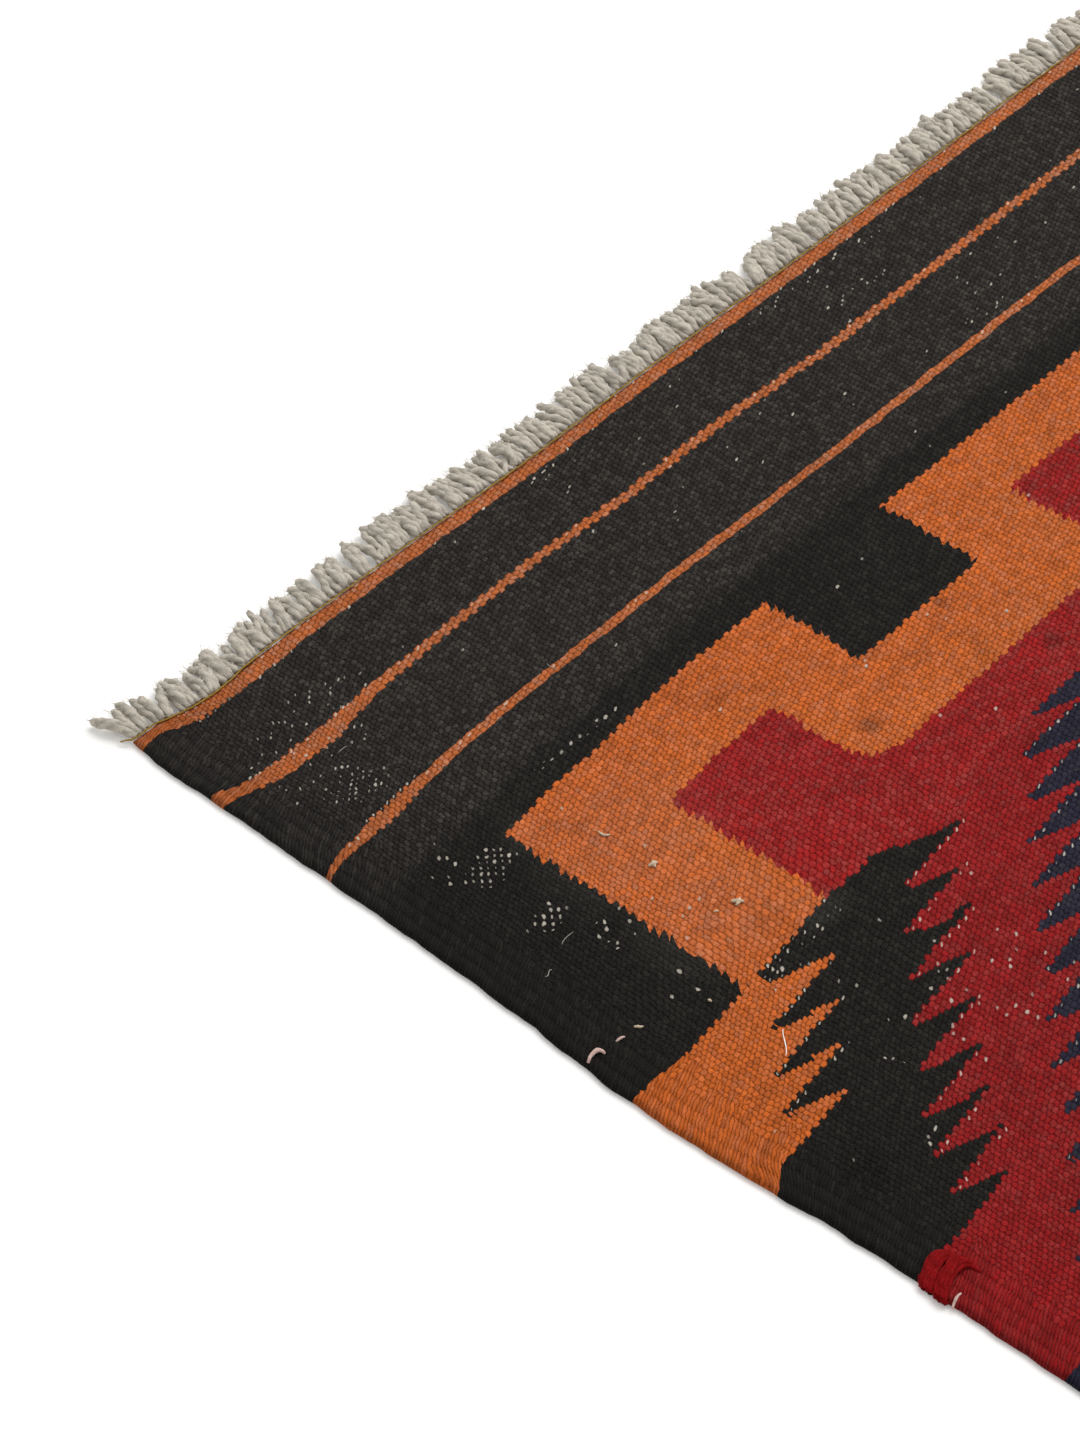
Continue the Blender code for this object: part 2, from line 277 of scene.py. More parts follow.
def weave_material(colours, relief):
    """Hand-spun wool in weft-faced plain weave: oval beads, each the turn of a pick over a warp.

    Wool is matt. Loose pale fibres and a painted sheen make the top of every bead paler than the dye, and
    painted shade darkens the gaps. Each bead takes the dye a little differently. Where the wool has worn
    through, the undyed warp shows as pale dots, and it glints wherever one colour ends and the next begins
    along a pick.
    """
    material, add = new_material("Wool in weft-faced plain weave")
    across = add("Attribute", attribute_name="across_mm", out="Fac")
    along = add("Attribute", attribute_name="along_mm", out="Fac")
    place = add("CombineXYZ", across, along, 0.0)

    # No row is quite straight in hand weaving
    slow, brisk = (add("TexNoise", {"Vector": place, "Scale": scale, "Detail": 1.0}, noise_dimensions="2D",
                       out="Color") for scale in (0.10, 0.45))
    slow_middle, brisk_middle = (tuple(-s / 2 for s in sway) for sway in (SLOW_SWAY, BRISK_SWAY))
    sway = add("VectorMath.MULTIPLY_ADD", slow, SLOW_SWAY, slow_middle)
    sway = add("VectorMath.MULTIPLY_ADD", brisk, BRISK_SWAY, sway)
    swayed = add("VectorMath.ADD", add("VectorMath.ADD", place, sway), brisk_middle)
    cells = add("SeparateXYZ", swayed)
    swayed_along = cells.node.outputs[1]

    # The beads: columns one warp wide, every other one half a bead lower. The warps crowd towards the side.
    pick = add("Math.FLOOR", add("Math.DIVIDE", swayed_along, BEAD_LENGTH))
    pairs = add("TexWhiteNoise", {"W": pick}, noise_dimensions="1D", out="Value")
    pairs = add("Math.FLOOR", add("Math.MULTIPLY", pairs, 3.0))
    ragged = add("Math.MULTIPLY_ADD", pairs, 2 * WARP_PITCH, SELVEDGE_WIDTH - 2 * WARP_PITCH)
    at_side = add("Math.LESS_THAN", cells, ragged)
    crowded = add("Math.SUBTRACT", cells, SELVEDGE_WIDTH)
    crowded = add("Clamp", {"Value": crowded, "Min": 0.0, "Max": CROWDED_WIDTH})
    warped = add("Math.MULTIPLY_ADD", crowded, CROWDING, cells)
    width = add("Math.MULTIPLY_ADD", at_side, WARP_PITCH, WARP_PITCH)
    length = add("Math.MULTIPLY_ADD", at_side, SELVEDGE_BEAD - BEAD_LENGTH, BEAD_LENGTH)
    inwards = add("MapRange", {"Value": along, 1: 0.0, 2: 2.5 * END_BAND, 3: END_SLANT_SHARE, 4: 1.0})
    slant = add("Math.MULTIPLY", add("Math.MULTIPLY", at_side, inwards), SELVEDGE_SLANT - BEAD_SLANT)
    slant = add("Math.ADD", slant, BEAD_SLANT)
    in_warps = add("Math.DIVIDE", warped, width)
    column = add("Math.FLOOR", in_warps)
    sideways = add("Math.SUBTRACT", add("Math.FRACT", in_warps), 0.5)
    odd = add("Math.FLOORED_MODULO", column, 2.0)
    drop = add("Math.MULTIPLY", odd, 0.5)
    slanted = add("Math.MULTIPLY_ADD", sideways, slant, add("Math.DIVIDE", swayed_along, length))
    dropped = add("Math.ADD", slanted, drop)
    row = add("Math.FLOOR", dropped)
    lengthways = add("Math.SUBTRACT", add("Math.FRACT", dropped), 0.5)
    bead_across = add("Math.SUBTRACT", cells, add("Math.MULTIPLY", sideways, width))
    bead_along = add("Math.MULTIPLY", add("Math.SUBTRACT", add("Math.ADD", row, 0.5), drop), length)
    # The long strokes of the selvedge change colour part way, and so do the soft edges of the stripes
    bead_along = add("Mix", {"Factor_Float": add("Math.MULTIPLY", at_side, 0.75), "A_Float": bead_along,
                             "B_Float": swayed_along})
    soft_along = add("Mix", {"Factor_Float": 0.35, "A_Float": bead_along, "B_Float": swayed_along})
    bead = add("CombineXYZ", column, row, 0.0)
    chance = add("TexWhiteNoise", {"Vector": bead}, noise_dimensions="2D", out="Value")
    bead = add("CombineXYZ", row, column, 7.0)
    luck = add("TexWhiteNoise", {"Vector": bead}, noise_dimensions="3D", out="Value")

    # The bead's rounded top, 1 in the middle and 0 in the gaps between three beads
    flatness = add("Math.MULTIPLY_ADD", at_side, SELVEDGE_FALL, BEAD_FALL[0])
    side_square = add("Math.MULTIPLY", sideways, sideways)
    long_square = add("Math.MULTIPLY", lengthways, lengthways)
    spread = add("Math.MULTIPLY_ADD", long_square, BEAD_FALL[1], add("Math.MULTIPLY", side_square, flatness))
    dome = add("MapRange", {"Value": spread, 1: BEAD_TOP, 2: BEAD_GAP, 3: 1.0, 4: 0.0},
               interpolation_type="SMOOTHSTEP")

    # Lozenges: count the serrated edges between the corner and this bead, four to a cycle of colours
    tooth_across = bead_across
    for x, y, wide, long, more in TOOTH_SHIFTS:
        over = add("Math.MULTIPLY_ADD", bead_across, 1 / wide, -x / wide)
        down = add("Math.MULTIPLY_ADD", bead_along, 1 / long, -y / long)
        away = add("Math.MULTIPLY_ADD", over, over, add("Math.MULTIPLY", down, down))
        hill = add("Math.EXPONENT", add("Math.MULTIPLY", away, -1.0))
        tooth_across = add("Math.MULTIPLY_ADD", hill, -more, tooth_across)
    crossed, on_step = 0.0, 0.0
    for edge, shift in LOZENGE_EDGES:
        teeth = add("Math.MULTIPLY_ADD", bead_along, 1 / TOOTH_LENGTH, -TOOTH_START / TOOTH_LENGTH - shift)
        teeth = add("Math.MAXIMUM", teeth, FIRST_TOOTH)
        part = add("Math.FRACT", teeth)
        start = add("Math.MULTIPLY_ADD", add("Math.SUBTRACT", teeth, part), -TOOTH_STEP, edge)
        start = add("Math.FLOORED_MODULO", add("Math.ADD", start, TOOTH_REACH), LOZENGE_CYCLE)
        left_out = add("Math.MULTIPLY", add("Math.LESS_THAN", start, TOOTH_REACH + LAST_TOOTH_AT),
                       add("Math.LESS_THAN", bead_across, 1.5 * TOOTH_REACH))
        past = add("Math.MULTIPLY_ADD", teeth, TOOTH_STEP, add("Math.SUBTRACT", tooth_across, edge))
        past = add("Math.MULTIPLY_ADD", add("Math.POWER", part, TOOTH_HOLLOW), -TOOTH_REACH, past)
        past = add("Math.MULTIPLY_ADD", left_out, 1.5 * TOOTH_REACH, past)
        cycles = add("Math.DIVIDE", past, LOZENGE_CYCLE)
        crossed = add("Math.ADD", crossed, add("Math.FLOOR", cycles))
        first_row = add("Math.LESS_THAN", part, BEAD_LENGTH / TOOTH_LENGTH)
        on_edge = add("Math.LESS_THAN", add("Math.FRACT", cycles), TOOTH_REACH / LOZENGE_CYCLE)
        on_step = add("Math.MAXIMUM", on_step, add("Math.MULTIPLY", first_row, on_edge))
    band = add("Math.FLOORED_MODULO", crossed, float(len(LOZENGE_EDGES)))

    # Joins along the warp: picks of the two colours reach past each other in turn, as slanting spikes
    picks = add("Math.MULTIPLY_ADD", cells, JOIN_SLANT, swayed_along)
    picks = add("Math.DIVIDE", picks, 2 * BEAD_LENGTH)
    spike = add("Math.PINGPONG", add("Math.MULTIPLY", picks, 2.0), 1.0)
    join_chance = add("TexWhiteNoise", {"W": add("Math.FLOOR", picks)}, noise_dimensions="1D", out="Value")
    tall_spike = add("TexNoise", {"Vector": place, "Scale": 0.12, "Detail": 1.0}, noise_dimensions="2D")
    tall_spike = add("MapRange", {"Value": tall_spike, 1: 0.35, 2: 0.65,
                                  3: 0.9 * JOIN_SPIKE, 4: 1.9 * JOIN_SPIKE})
    joined = add("Math.MULTIPLY_ADD", spike, tall_spike, cells)
    joined = add("Math.MULTIPLY_ADD", join_chance, JOIN_RAGGED, joined)
    joined = add("Math.SUBTRACT", joined, JOIN_SPIKE + JOIN_RAGGED / 2)

    # The stepped border
    repeats = add("Math.MULTIPLY_ADD", joined, 1 / BORDER_REPEAT, -FIRST_BUMP / BORDER_REPEAT)
    off_bump = add("Math.ABSOLUTE", add("Math.SUBTRACT", repeats, add("Math.ROUND", repeats)))
    off_bump = add("Math.MULTIPLY", off_bump, BORDER_REPEAT)
    in_notch = add("Math.MULTIPLY", add("Math.GREATER_THAN", off_bump, BLOCK_HALF),
                   add("Math.GREATER_THAN", joined, FIRST_BUMP))
    top = add("Math.MULTIPLY_ADD", in_notch, NOTCH_DEPTH, BORDER_TOP)
    in_orange = add("Math.MULTIPLY", add("Math.GREATER_THAN", bead_along, top),
                    add("Math.GREATER_THAN", joined, SIDE_BLOCK))
    tall = add("Math.GREATER_THAN", bead_across, BORDER_REPEAT)
    bump_top = add("Math.MULTIPLY_ADD", tall, TALL_BUMP_TOP - BUMP_TOP, BUMP_TOP)
    flare = add("Math.SUBTRACT", bead_along, RED_FROM)
    flare = add("Math.EXPONENT", add("Math.DIVIDE", flare, BUMP_FLARE_REACH))
    flare = add("Math.MULTIPLY_ADD", flare, BUMP_FLARE, BUMP_HALF)
    in_bump = add("Math.MULTIPLY", add("Math.LESS_THAN", off_bump, flare),
                  add("Math.GREATER_THAN", bead_along, bump_top))
    in_red = add("Math.MAXIMUM", in_bump, add("Math.GREATER_THAN", bead_along, RED_FROM))
    in_red = add("Math.MULTIPLY", in_red, add("Math.GREATER_THAN", joined, RED_SIDE))
    field_edge = 0.0
    for level, slope, base in FIELD_RAMPS:
        ramp = add("Math.MULTIPLY_ADD", bead_across, slope, level - slope * base)
        field_edge = add("Math.MAXIMUM", field_edge, ramp)
    beyond = add("Math.GREATER_THAN", bead_across, RAMPS_UNTIL)
    field_edge = add("Mix", {"Factor_Float": beyond, "A_Float": field_edge, "B_Float": FIELD_FROM})
    in_field = add("Math.GREATER_THAN", bead_along, field_edge)

    # The end band and the two stripes, each thicker or thinner in places, and the rows where the warp glints
    def thickness(plain, swells):
        """Half the thickness of a stripe, or the whole of the end band, where it runs unevenly."""
        for more, at, reach in swells:
            far = add("Math.MULTIPLY_ADD", bead_across, 1 / reach, -at / reach)
            hill = add("Math.EXPONENT", add("Math.MULTIPLY", add("Math.MULTIPLY", far, far), -1.0))
            plain = add("Math.MULTIPLY_ADD", hill, more, plain)
        return plain

    band_edge = thickness(END_BAND, END_BAND_SWELLS)
    in_rust = add("Math.LESS_THAN", soft_along, band_edge)
    glints = add("Math.MAXIMUM", add("Math.COMPARE", bead_along, band_edge, BEAD_LENGTH / 2),
                 add("Math.COMPARE", bead_along, BEAD_LENGTH / 2, BEAD_LENGTH / 2))
    for stripe in STRIPES:
        half = thickness(stripe["half"], stripe["swells"])
        in_rust = add("Math.MAXIMUM", in_rust, add("Math.COMPARE", soft_along, stripe["along"], half))
        upper = add("Math.SUBTRACT", stripe["along"], half)
        glints = add("Math.MAXIMUM", glints, add("Math.COMPARE", bead_along, upper, BEAD_LENGTH / 2))

    # Yarn colours, and how hairy each yarn is, which also sets its painted sheen
    deep = add("MapRange", {"Value": bead_along, 1: BLACK_FROM - 3, 2: BLACK_FROM + 3})
    deep_side = add("MapRange", {"Value": across, 1: 2.0, 2: 14.0, 3: 0.3, 4: 0.0},
                    interpolation_type="SMOOTHSTEP")
    deep = add("Math.MAXIMUM", deep, deep_side)
    field, field_hair_and_sheen = tuple(colours.orange), HAIR_AND_SHEEN["orange"]
    wool, hair_and_sheen = tuple(colours.brown), HAIR_AND_SHEEN["brown"]

    def dyed(mask, name, below, below_hair_and_sheen):
        """The colour, and the hairiness with its painted sheen, where a mask lays one yarn over what is
        below.
        """
        over = tuple(getattr(colours, name))
        colour = add("Mix", {"Factor_Float": mask, "A_Color": below, "B_Color": over},
                     data_type="RGBA", out=2)
        return colour, add("Mix", {"Factor_Float": mask, "A_Float": below_hair_and_sheen, "B_Float": HAIR_AND_SHEEN[name]})

    for number, name in ((1.0, "black"), (2.0, "crimson"), (3.0, "navy")):
        field, field_hair_and_sheen = dyed(add("Math.COMPARE", band, number, 0.5), name, field, field_hair_and_sheen)
    for mask, name in ((deep, "black"), (in_rust, "rust"), (in_orange, "orange"), (in_red, "red")):
        wool, hair_and_sheen = dyed(mask, name, wool, hair_and_sheen)
    wool = add("Mix", {"Factor_Float": in_field, "A_Color": wool, "B_Color": field}, data_type="RGBA", out=2)
    hair_and_sheen = add("Mix", {"Factor_Float": in_field, "A_Float": hair_and_sheen, "B_Float": field_hair_and_sheen})

    # Each bead a little lighter or darker, each run of picks too, and broad uneven fading
    run = add("VectorMath.MULTIPLY", place, (0.018, 0.45, 0.0))
    fibres = add("VectorMath.MULTIPLY", swayed, (0.9, 2.6, 0.0))
    streak, broad, patch, single = 0.42, 0.42, 0.28, 0.80
    grain = ((run, 1.0, 2.0, streak), (place, 0.02, 3.0, broad), (place, 0.09, 2.0, patch),
             (fibres, 1.0, 3.0, single))
    bright = add("Math.MULTIPLY_ADD", chance, BEAD_SPREAD,
                 1 - BEAD_SPREAD / 2 - sum(g[3] for g in grain) / 2)
    for vector, scale, detail, strength in grain:
        noise = add("TexNoise", {"Vector": vector, "Scale": scale, "Detail": detail, "Roughness": 0.65},
                    noise_dimensions="2D")
        bright = add("Math.MULTIPLY_ADD", noise, strength, bright)
    fibre = noise  # the last and finest of them
    # Painted shade in the gaps between beads and a painted highlight on their tops; the gaps are less shaded
    # at the selvedge
    painted_gap_shade = add("Math.MULTIPLY_ADD", at_side, SIDE_GAP, PAINTED_GAP_SHADE)
    painted_gap_shade = add("Math.MULTIPLY_ADD", luck, GAP_SPREAD, painted_gap_shade)
    painted_shade = add("MapRange", {"Value": dome, 1: 0.0, 2: 0.9, 3: painted_gap_shade, 4: PAINTED_TOP_LIGHT})
    # Painted shade at the very side where the edge turns down; the selvedge is also a little darker all over
    rim = add("MapRange", {"Value": across, 1: 0.0, 2: RIM_WIDTH, 3: PAINTED_RIM_SHADE, 4: 1.0},
              interpolation_type="SMOOTHSTEP")
    rim = add("Math.MULTIPLY", rim, add("Math.MULTIPLY_ADD", at_side, SIDE_SHADE, 1.0))
    bright = add("Math.MULTIPLY", add("Math.MULTIPLY", bright, painted_shade), rim)

    # Wear and stains, in places on the cloth as it lies
    spot = add("TexCoord", out="Object")
    spot = add("VectorMath.MULTIPLY_ADD", add("VectorMath.ABSOLUTE", spot), (-1 / MM, -1 / MM, 0.0),
               (HALF_WIDTH, HALF_LENGTH, 0.0))
    masks = []
    for places in (BARE_PLACES, STAINS, DUSTY):
        mask = 0.0
        for x, y, wide, long, share in places:
            away = add("VectorMath.MULTIPLY_ADD", spot,
                       (1 / wide, 1 / long, 0.0), (-x / wide, -y / long, 0.0))
            away = add("VectorMath.LENGTH", away, out="Value")
            close = add("MapRange", {"Value": away, 1: 0.45, 2: 1.0, 3: share, 4: 0.0})
            mask = add("Math.MAXIMUM", mask, close)
        masks.append(mask)
    bare, stained, dusty = masks
    bright = add("Math.MULTIPLY", bright, add("Math.SUBTRACT", 1.0, stained))
    wool = add("VectorMath.SCALE", {0: wool, "Scale": bright})

    # Loose pale fibres and a painted sheen on top of the beads, more on some beads and where the rug has been
    # trodden
    fuzz_and_sheen = add("Math.MULTIPLY_ADD", add("Math.MULTIPLY", luck, luck), LUCKY_FUZZ_AND_SHEEN, FUZZ_AND_SHEEN)
    fuzz_and_sheen = add("Math.MULTIPLY", add("Math.MULTIPLY", fuzz_and_sheen, dome), hair_and_sheen)
    fuzz_and_sheen = add("Math.MULTIPLY", fuzz_and_sheen, add("MapRange", {"Value": fibre, 1: 0.34, 2: 0.66, 3: 0.30, 4: 1.70}))
    fuzz_and_sheen_share = add("MapRange", {"Value": across, 1: 14.0, 2: 55.0, 3: SIDE_FUZZ_AND_SHEEN, 4: 1.0})
    fuzz_and_sheen = add("Math.MULTIPLY", fuzz_and_sheen, fuzz_and_sheen_share)
    fuzz_and_sheen = add("Math.MULTIPLY_ADD", dusty, fibre, fuzz_and_sheen)
    undyed = tuple(colours.undyed)
    wool = add("Mix", {"Factor_Float": fuzz_and_sheen, "A_Color": wool, "B_Color": undyed}, data_type="RGBA", out=2)

    # Bare warp: a lattice of small slanting dashes, and single ones along the edges of bands, stripes and
    # teeth
    side_mm = add("Math.MULTIPLY", sideways, width)
    past_skirt = add("Math.GREATER_THAN", along, BLACK_FROM)
    pitch = add("Math.MULTIPLY_ADD", past_skirt, BARE_ROWS[1] - BARE_ROWS[0], BARE_ROWS[0])
    bare_rows = add("Math.ADD", add("Math.DIVIDE", swayed_along, pitch), drop)
    bare_bead = add("CombineXYZ", column, add("Math.FLOOR", bare_rows), 3.0)
    bare_chance = add("TexWhiteNoise", {"Vector": bare_bead}, noise_dimensions="3D", out="Value")
    in_row = add("Math.MULTIPLY", add("Math.SUBTRACT", add("Math.FRACT", bare_rows), 0.5), pitch)
    shown = add("Math.LESS_THAN", bare_chance, add("Math.MAXIMUM", bare, BARE_ANYWHERE))
    at_glint = add("MapRange", {"Value": across, 1: GLINT_SHARE["from"], 2: GLINT_SHARE["to"],
                                3: GLINT_SHARE["near"], 4: GLINT_SHARE["far"]})
    at_glint = add("Math.LESS_THAN", luck, add("Math.MULTIPLY", at_glint, glints))
    at_step = add("Math.MULTIPLY", add("Math.MULTIPLY", on_step, in_field), STEP_SHARE)
    at_step = add("Math.LESS_THAN", luck, at_step)
    glinting = add("Math.MULTIPLY", add("Math.MAXIMUM", at_glint, at_step), add("Math.SUBTRACT", 1.0, odd))
    pale = 0.0
    wide, low, high, lean = BARE_DASH
    taller = add("Math.MULTIPLY_ADD", past_skirt, high - low, low)
    in_bead = add("Math.MULTIPLY", lengthways, BEAD_LENGTH)
    for there, up, half_height in ((shown, in_row, taller), (glinting, in_bead, low)):
        up = add("Math.DIVIDE", add("Math.MULTIPLY_ADD", side_mm, lean, up), half_height)
        over = add("Math.DIVIDE", side_mm, wide)
        away = add("Math.ADD", add("Math.MULTIPLY", over, over), add("Math.MULTIPLY", up, up))
        size = add("Math.MULTIPLY_ADD", chance, 0.75, 0.25)
        dash = add("MapRange", {"Value": add("Math.DIVIDE", away, size), 1: 0.45, 2: 1.1, 3: 1.0, 4: 0.0})
        pale = add("Math.MAXIMUM", pale, add("Math.MULTIPLY", dash, there))
    pale = add("Math.MULTIPLY", pale, add("Math.SUBTRACT", 1.0, at_side))
    pale = add("Math.MULTIPLY", pale, add("Math.MULTIPLY_ADD", chance, 0.6, 0.35))
    colour = add("Mix", {"Factor_Float": pale, "A_Color": wool, "B_Color": undyed}, data_type="RGBA", out=2)

    height = add("Math.MULTIPLY_ADD", fibre, 0.45, dome)
    bump = add("Bump", {"Strength": 1.0, "Distance": relief, "Height": height})
    surface = add("BsdfPrincipled", {
        "Base Color": colour, "Roughness": 0.95, "Specular IOR Level": 0.04, "Sheen Weight": 0.02,
        "Sheen Roughness": 0.5, "Normal": bump,
    })
    add("OutputMaterial", {"Surface": surface})
    return material


def yarn_material(name, dye, hairy=0.10):
    """Matt, soft plied yarn, with painted shade in the creases between its plies and a pale bloom of fibres.
    """
    material, add = new_material(name)
    place = add("TexCoord", out="Object")
    ply = add("Attribute", attribute_name="ply", out="Fac")  # 1 on a ply, -1 in the crease between two
    fine = add("TexNoise", {"Vector": place, "Scale": 1500.0, "Detail": 3.0, "Roughness": 0.7})
    broad = add("TexNoise", {"Vector": place, "Scale": 140.0, "Detail": 2.0})
    bright = add("Math.MULTIPLY_ADD", fine, 0.75, 0.40)
    bright = add("Math.MULTIPLY_ADD", broad, 0.55, bright)
    # Painted shade in the creases between the plies, a little lighter on their crests
    bright = add("Math.MULTIPLY", bright, add("MapRange", {"Value": ply, 1: -1.0, 2: 0.4, 3: 0.74, 4: 1.05}))
    colour = add("VectorMath.SCALE", {0: tuple(dye)[:3], "Scale": bright})
    bloom = add("MapRange", {"Value": fine, 1: 0.5, 2: 0.75, 3: 0.0, 4: 2 * hairy})
    colour = add("Mix", {"Factor_Float": bloom, "A_Color": colour, "B_Color": linear(PALE_FIBRE)},
                 data_type="RGBA", out=2)
    height = add("Math.MULTIPLY_ADD", ply, 0.25, fine)
    bump = add("Bump", {"Strength": 1.0, "Distance": 0.4 * MM, "Height": height})
    surface = add("BsdfPrincipled", {
        "Base Color": colour, "Roughness": 0.95, "Specular IOR Level": hairy, "Sheen Weight": hairy,
        "Normal": bump,
    })
    add("OutputMaterial", {"Surface": surface})
    return material


def fibre_material(name, dye):
    """Single wool fibres and lint: matt, a little uneven in colour."""
    material, add = new_material(name)
    place = add("TexCoord", out="Object")
    patch = add("TexNoise", {"Vector": place, "Scale": 700.0, "Detail": 2.0})
    bright = add("Math.MULTIPLY_ADD", patch, 0.7, 0.62)
    colour = add("VectorMath.SCALE", {0: dye[:3], "Scale": bright})
    surface = add("BsdfPrincipled", {"Base Color": colour, "Roughness": 0.9, "Specular IOR Level": 0.2,
                                     "Sheen Weight": 0.2})
    add("OutputMaterial", {"Surface": surface})
    return material


# --------------------------------------------------------------------------------------------------
# The cloth


OUTLINE_BAND = (7.5, 3.8)  # mm in from the usual side and end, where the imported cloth's outline wanders


def cad_outline():
    """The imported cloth's outline: for each side x along y, and for each end y along x, as sorted arrays."""
    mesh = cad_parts["rug_cloth"].data
    points = np.array([v.co for v in mesh.vertices])
    height = points[:, 2].max()
    ring = points[(points[:, 2] > 0.2 * height) & (points[:, 2] < 0.8 * height)]
    side_line, end_line = (HALF_WIDTH - OUTLINE_BAND[0]) * MM, (HALF_LENGTH - OUTLINE_BAND[1]) * MM
    outline = {}
    for name, axis, sign, line in (("left", 0, -1, side_line), ("right", 0, 1, side_line),
                                   ("front", 1, -1, end_line), ("back", 1, 1, end_line)):
        edge = ring[sign * ring[:, axis] > line]
        edge = edge[np.argsort(edge[:, 1 - axis])]
        outline[name] = (edge[:, 1 - axis], edge[:, axis])
    return outline


def lag_field(across, from_end):
    """How far the picks lag at a place on the cloth, in mm."""
    grid = np.arange(0, HALF_WIDTH + LAG_GRID, LAG_GRID)
    window = np.hanning(LAG_SMOOTHING + 2)[1:-1]
    lines, lags = sorted(PICK_LAG), []
    for line in lines:
        places, shifts = np.array(PICK_LAG[line], float).T
        padded = np.pad(np.interp(grid, places, shifts), LAG_SMOOTHING // 2, mode="edge")
        lags.append(np.convolve(padded, window / window.sum(), mode="valid"))
    lags = np.array([np.zeros(len(grid)), *lags, np.zeros(len(grid))])
    lines = np.array([0.0, *lines, HALF_LENGTH + 10])
    k = np.clip(np.searchsorted(lines, from_end, side="right") - 1, 0, len(lines) - 2)
    share = np.clip((from_end - lines[k]) / (lines[k + 1] - lines[k]), 0, 1)
    share = share * share * (3 - 2 * share)
    near = np.clip(across / LAG_GRID, 0, len(grid) - 1.001)
    j = near.astype(int)
    part = near - j
    low = lags[k, j] * (1 - part) + lags[k, j + 1] * part
    high = lags[k + 1, j] * (1 - part) + lags[k + 1, j + 1] * part
    return low * (1 - share) + high * share


def soft_waves(x, y, scale, seed):
    """Smooth waves between about -1 and 1 over the cloth, from a few sines in fixed directions."""
    draw = random.Random(seed)
    total = np.zeros(np.broadcast(x, y).shape)
    count = 5
    for _ in range(count):
        turn, phase = draw.uniform(0, math.tau), draw.uniform(0, math.tau)
        pace = math.tau / (scale * draw.uniform(0.7, 1.4))
        total += np.sin((x * math.cos(turn) + y * math.sin(turn)) * pace + phase)
    return total / count ** 0.5


EDGE_PROFILE = ((0.0, 1.15), (0.15, 1.75), (0.6, 2.25), (1.3, 2.60), (2.4, 2.75))  # inset and height, mm
UNDER_PROFILE = ((0.12, 0.55), (0.5, 0.18), (1.4, 0.0))
CORD_STEPS = 3  # columns of faces to each half of a selvedge cord
INNER_STEP = 26.0
ROW_STEP = 2.5
MAP_MARGIN = 0.004
EDGE_REACH = 60.0  # mm over which the cloth evens out a wandering edge
MIDDLE_REACH = 60  # mm over which the picks straighten before the middle line, where the two halves meet
MEASURED_REACH = 300  # mm from the photographed corner; the picks begin to wander a little beyond it


def cloth_columns():
    """Insets from the side edge in mm of the columns of points over half the cloth, edge first."""
    cords = np.arange(EDGE_PROFILE[-1][0] + 0.8, SELVEDGE_WIDTH + 4, 2 * WARP_PITCH / (2 * CORD_STEPS))
    first = cords[-1] + 4
    count = round((HALF_WIDTH - first) / INNER_STEP)
    inner = np.linspace(first, HALF_WIDTH, count + 1)
    return np.concatenate([[p[0] for p in EDGE_PROFILE], cords, inner])


def cloth_rows():
    """Insets from the end in mm of the rows of points over half the cloth, end first."""
    start = [p[0] for p in EDGE_PROFILE]
    count = round((HALF_LENGTH - start[-1] - 1) / ROW_STEP)
    return np.concatenate([start, np.linspace(start[-1] + 1, HALF_LENGTH, count + 1)])


def cloth_points(insets_across, insets_along, outline):
    """Places of a grid of points from their insets, row by row over both halves.

    They follow the outline near the edges.
    """
    across = np.concatenate([insets_across, insets_across[-2::-1]])
    along = np.concatenate([insets_along, insets_along[-2::-1]])
    side = np.where(np.arange(len(across)) < len(insets_across), -1.0, 1.0)
    end = np.where(np.arange(len(along)) < len(insets_along), 1.0, -1.0)
    across, along = np.meshgrid(across, along)
    side, end = np.meshgrid(side, end)
    x = side * (HALF_WIDTH - across) * MM
    y = end * (HALF_LENGTH - along) * MM
    back, front = (np.interp(x, *outline[name]) for name in ("back", "front"))
    shift = np.where(end > 0, back - HALF_LENGTH * MM, front + HALF_LENGTH * MM)
    y = y + shift * (1 - ease(0, EDGE_REACH, along))
    left, right = (np.interp(y, *outline[name]) for name in ("left", "right"))
    shift = np.where(side < 0, left + HALF_WIDTH * MM, right - HALF_WIDTH * MM)
    x = x + shift * (1 - ease(0, EDGE_REACH, across))
    return x, y, across, along, side, end


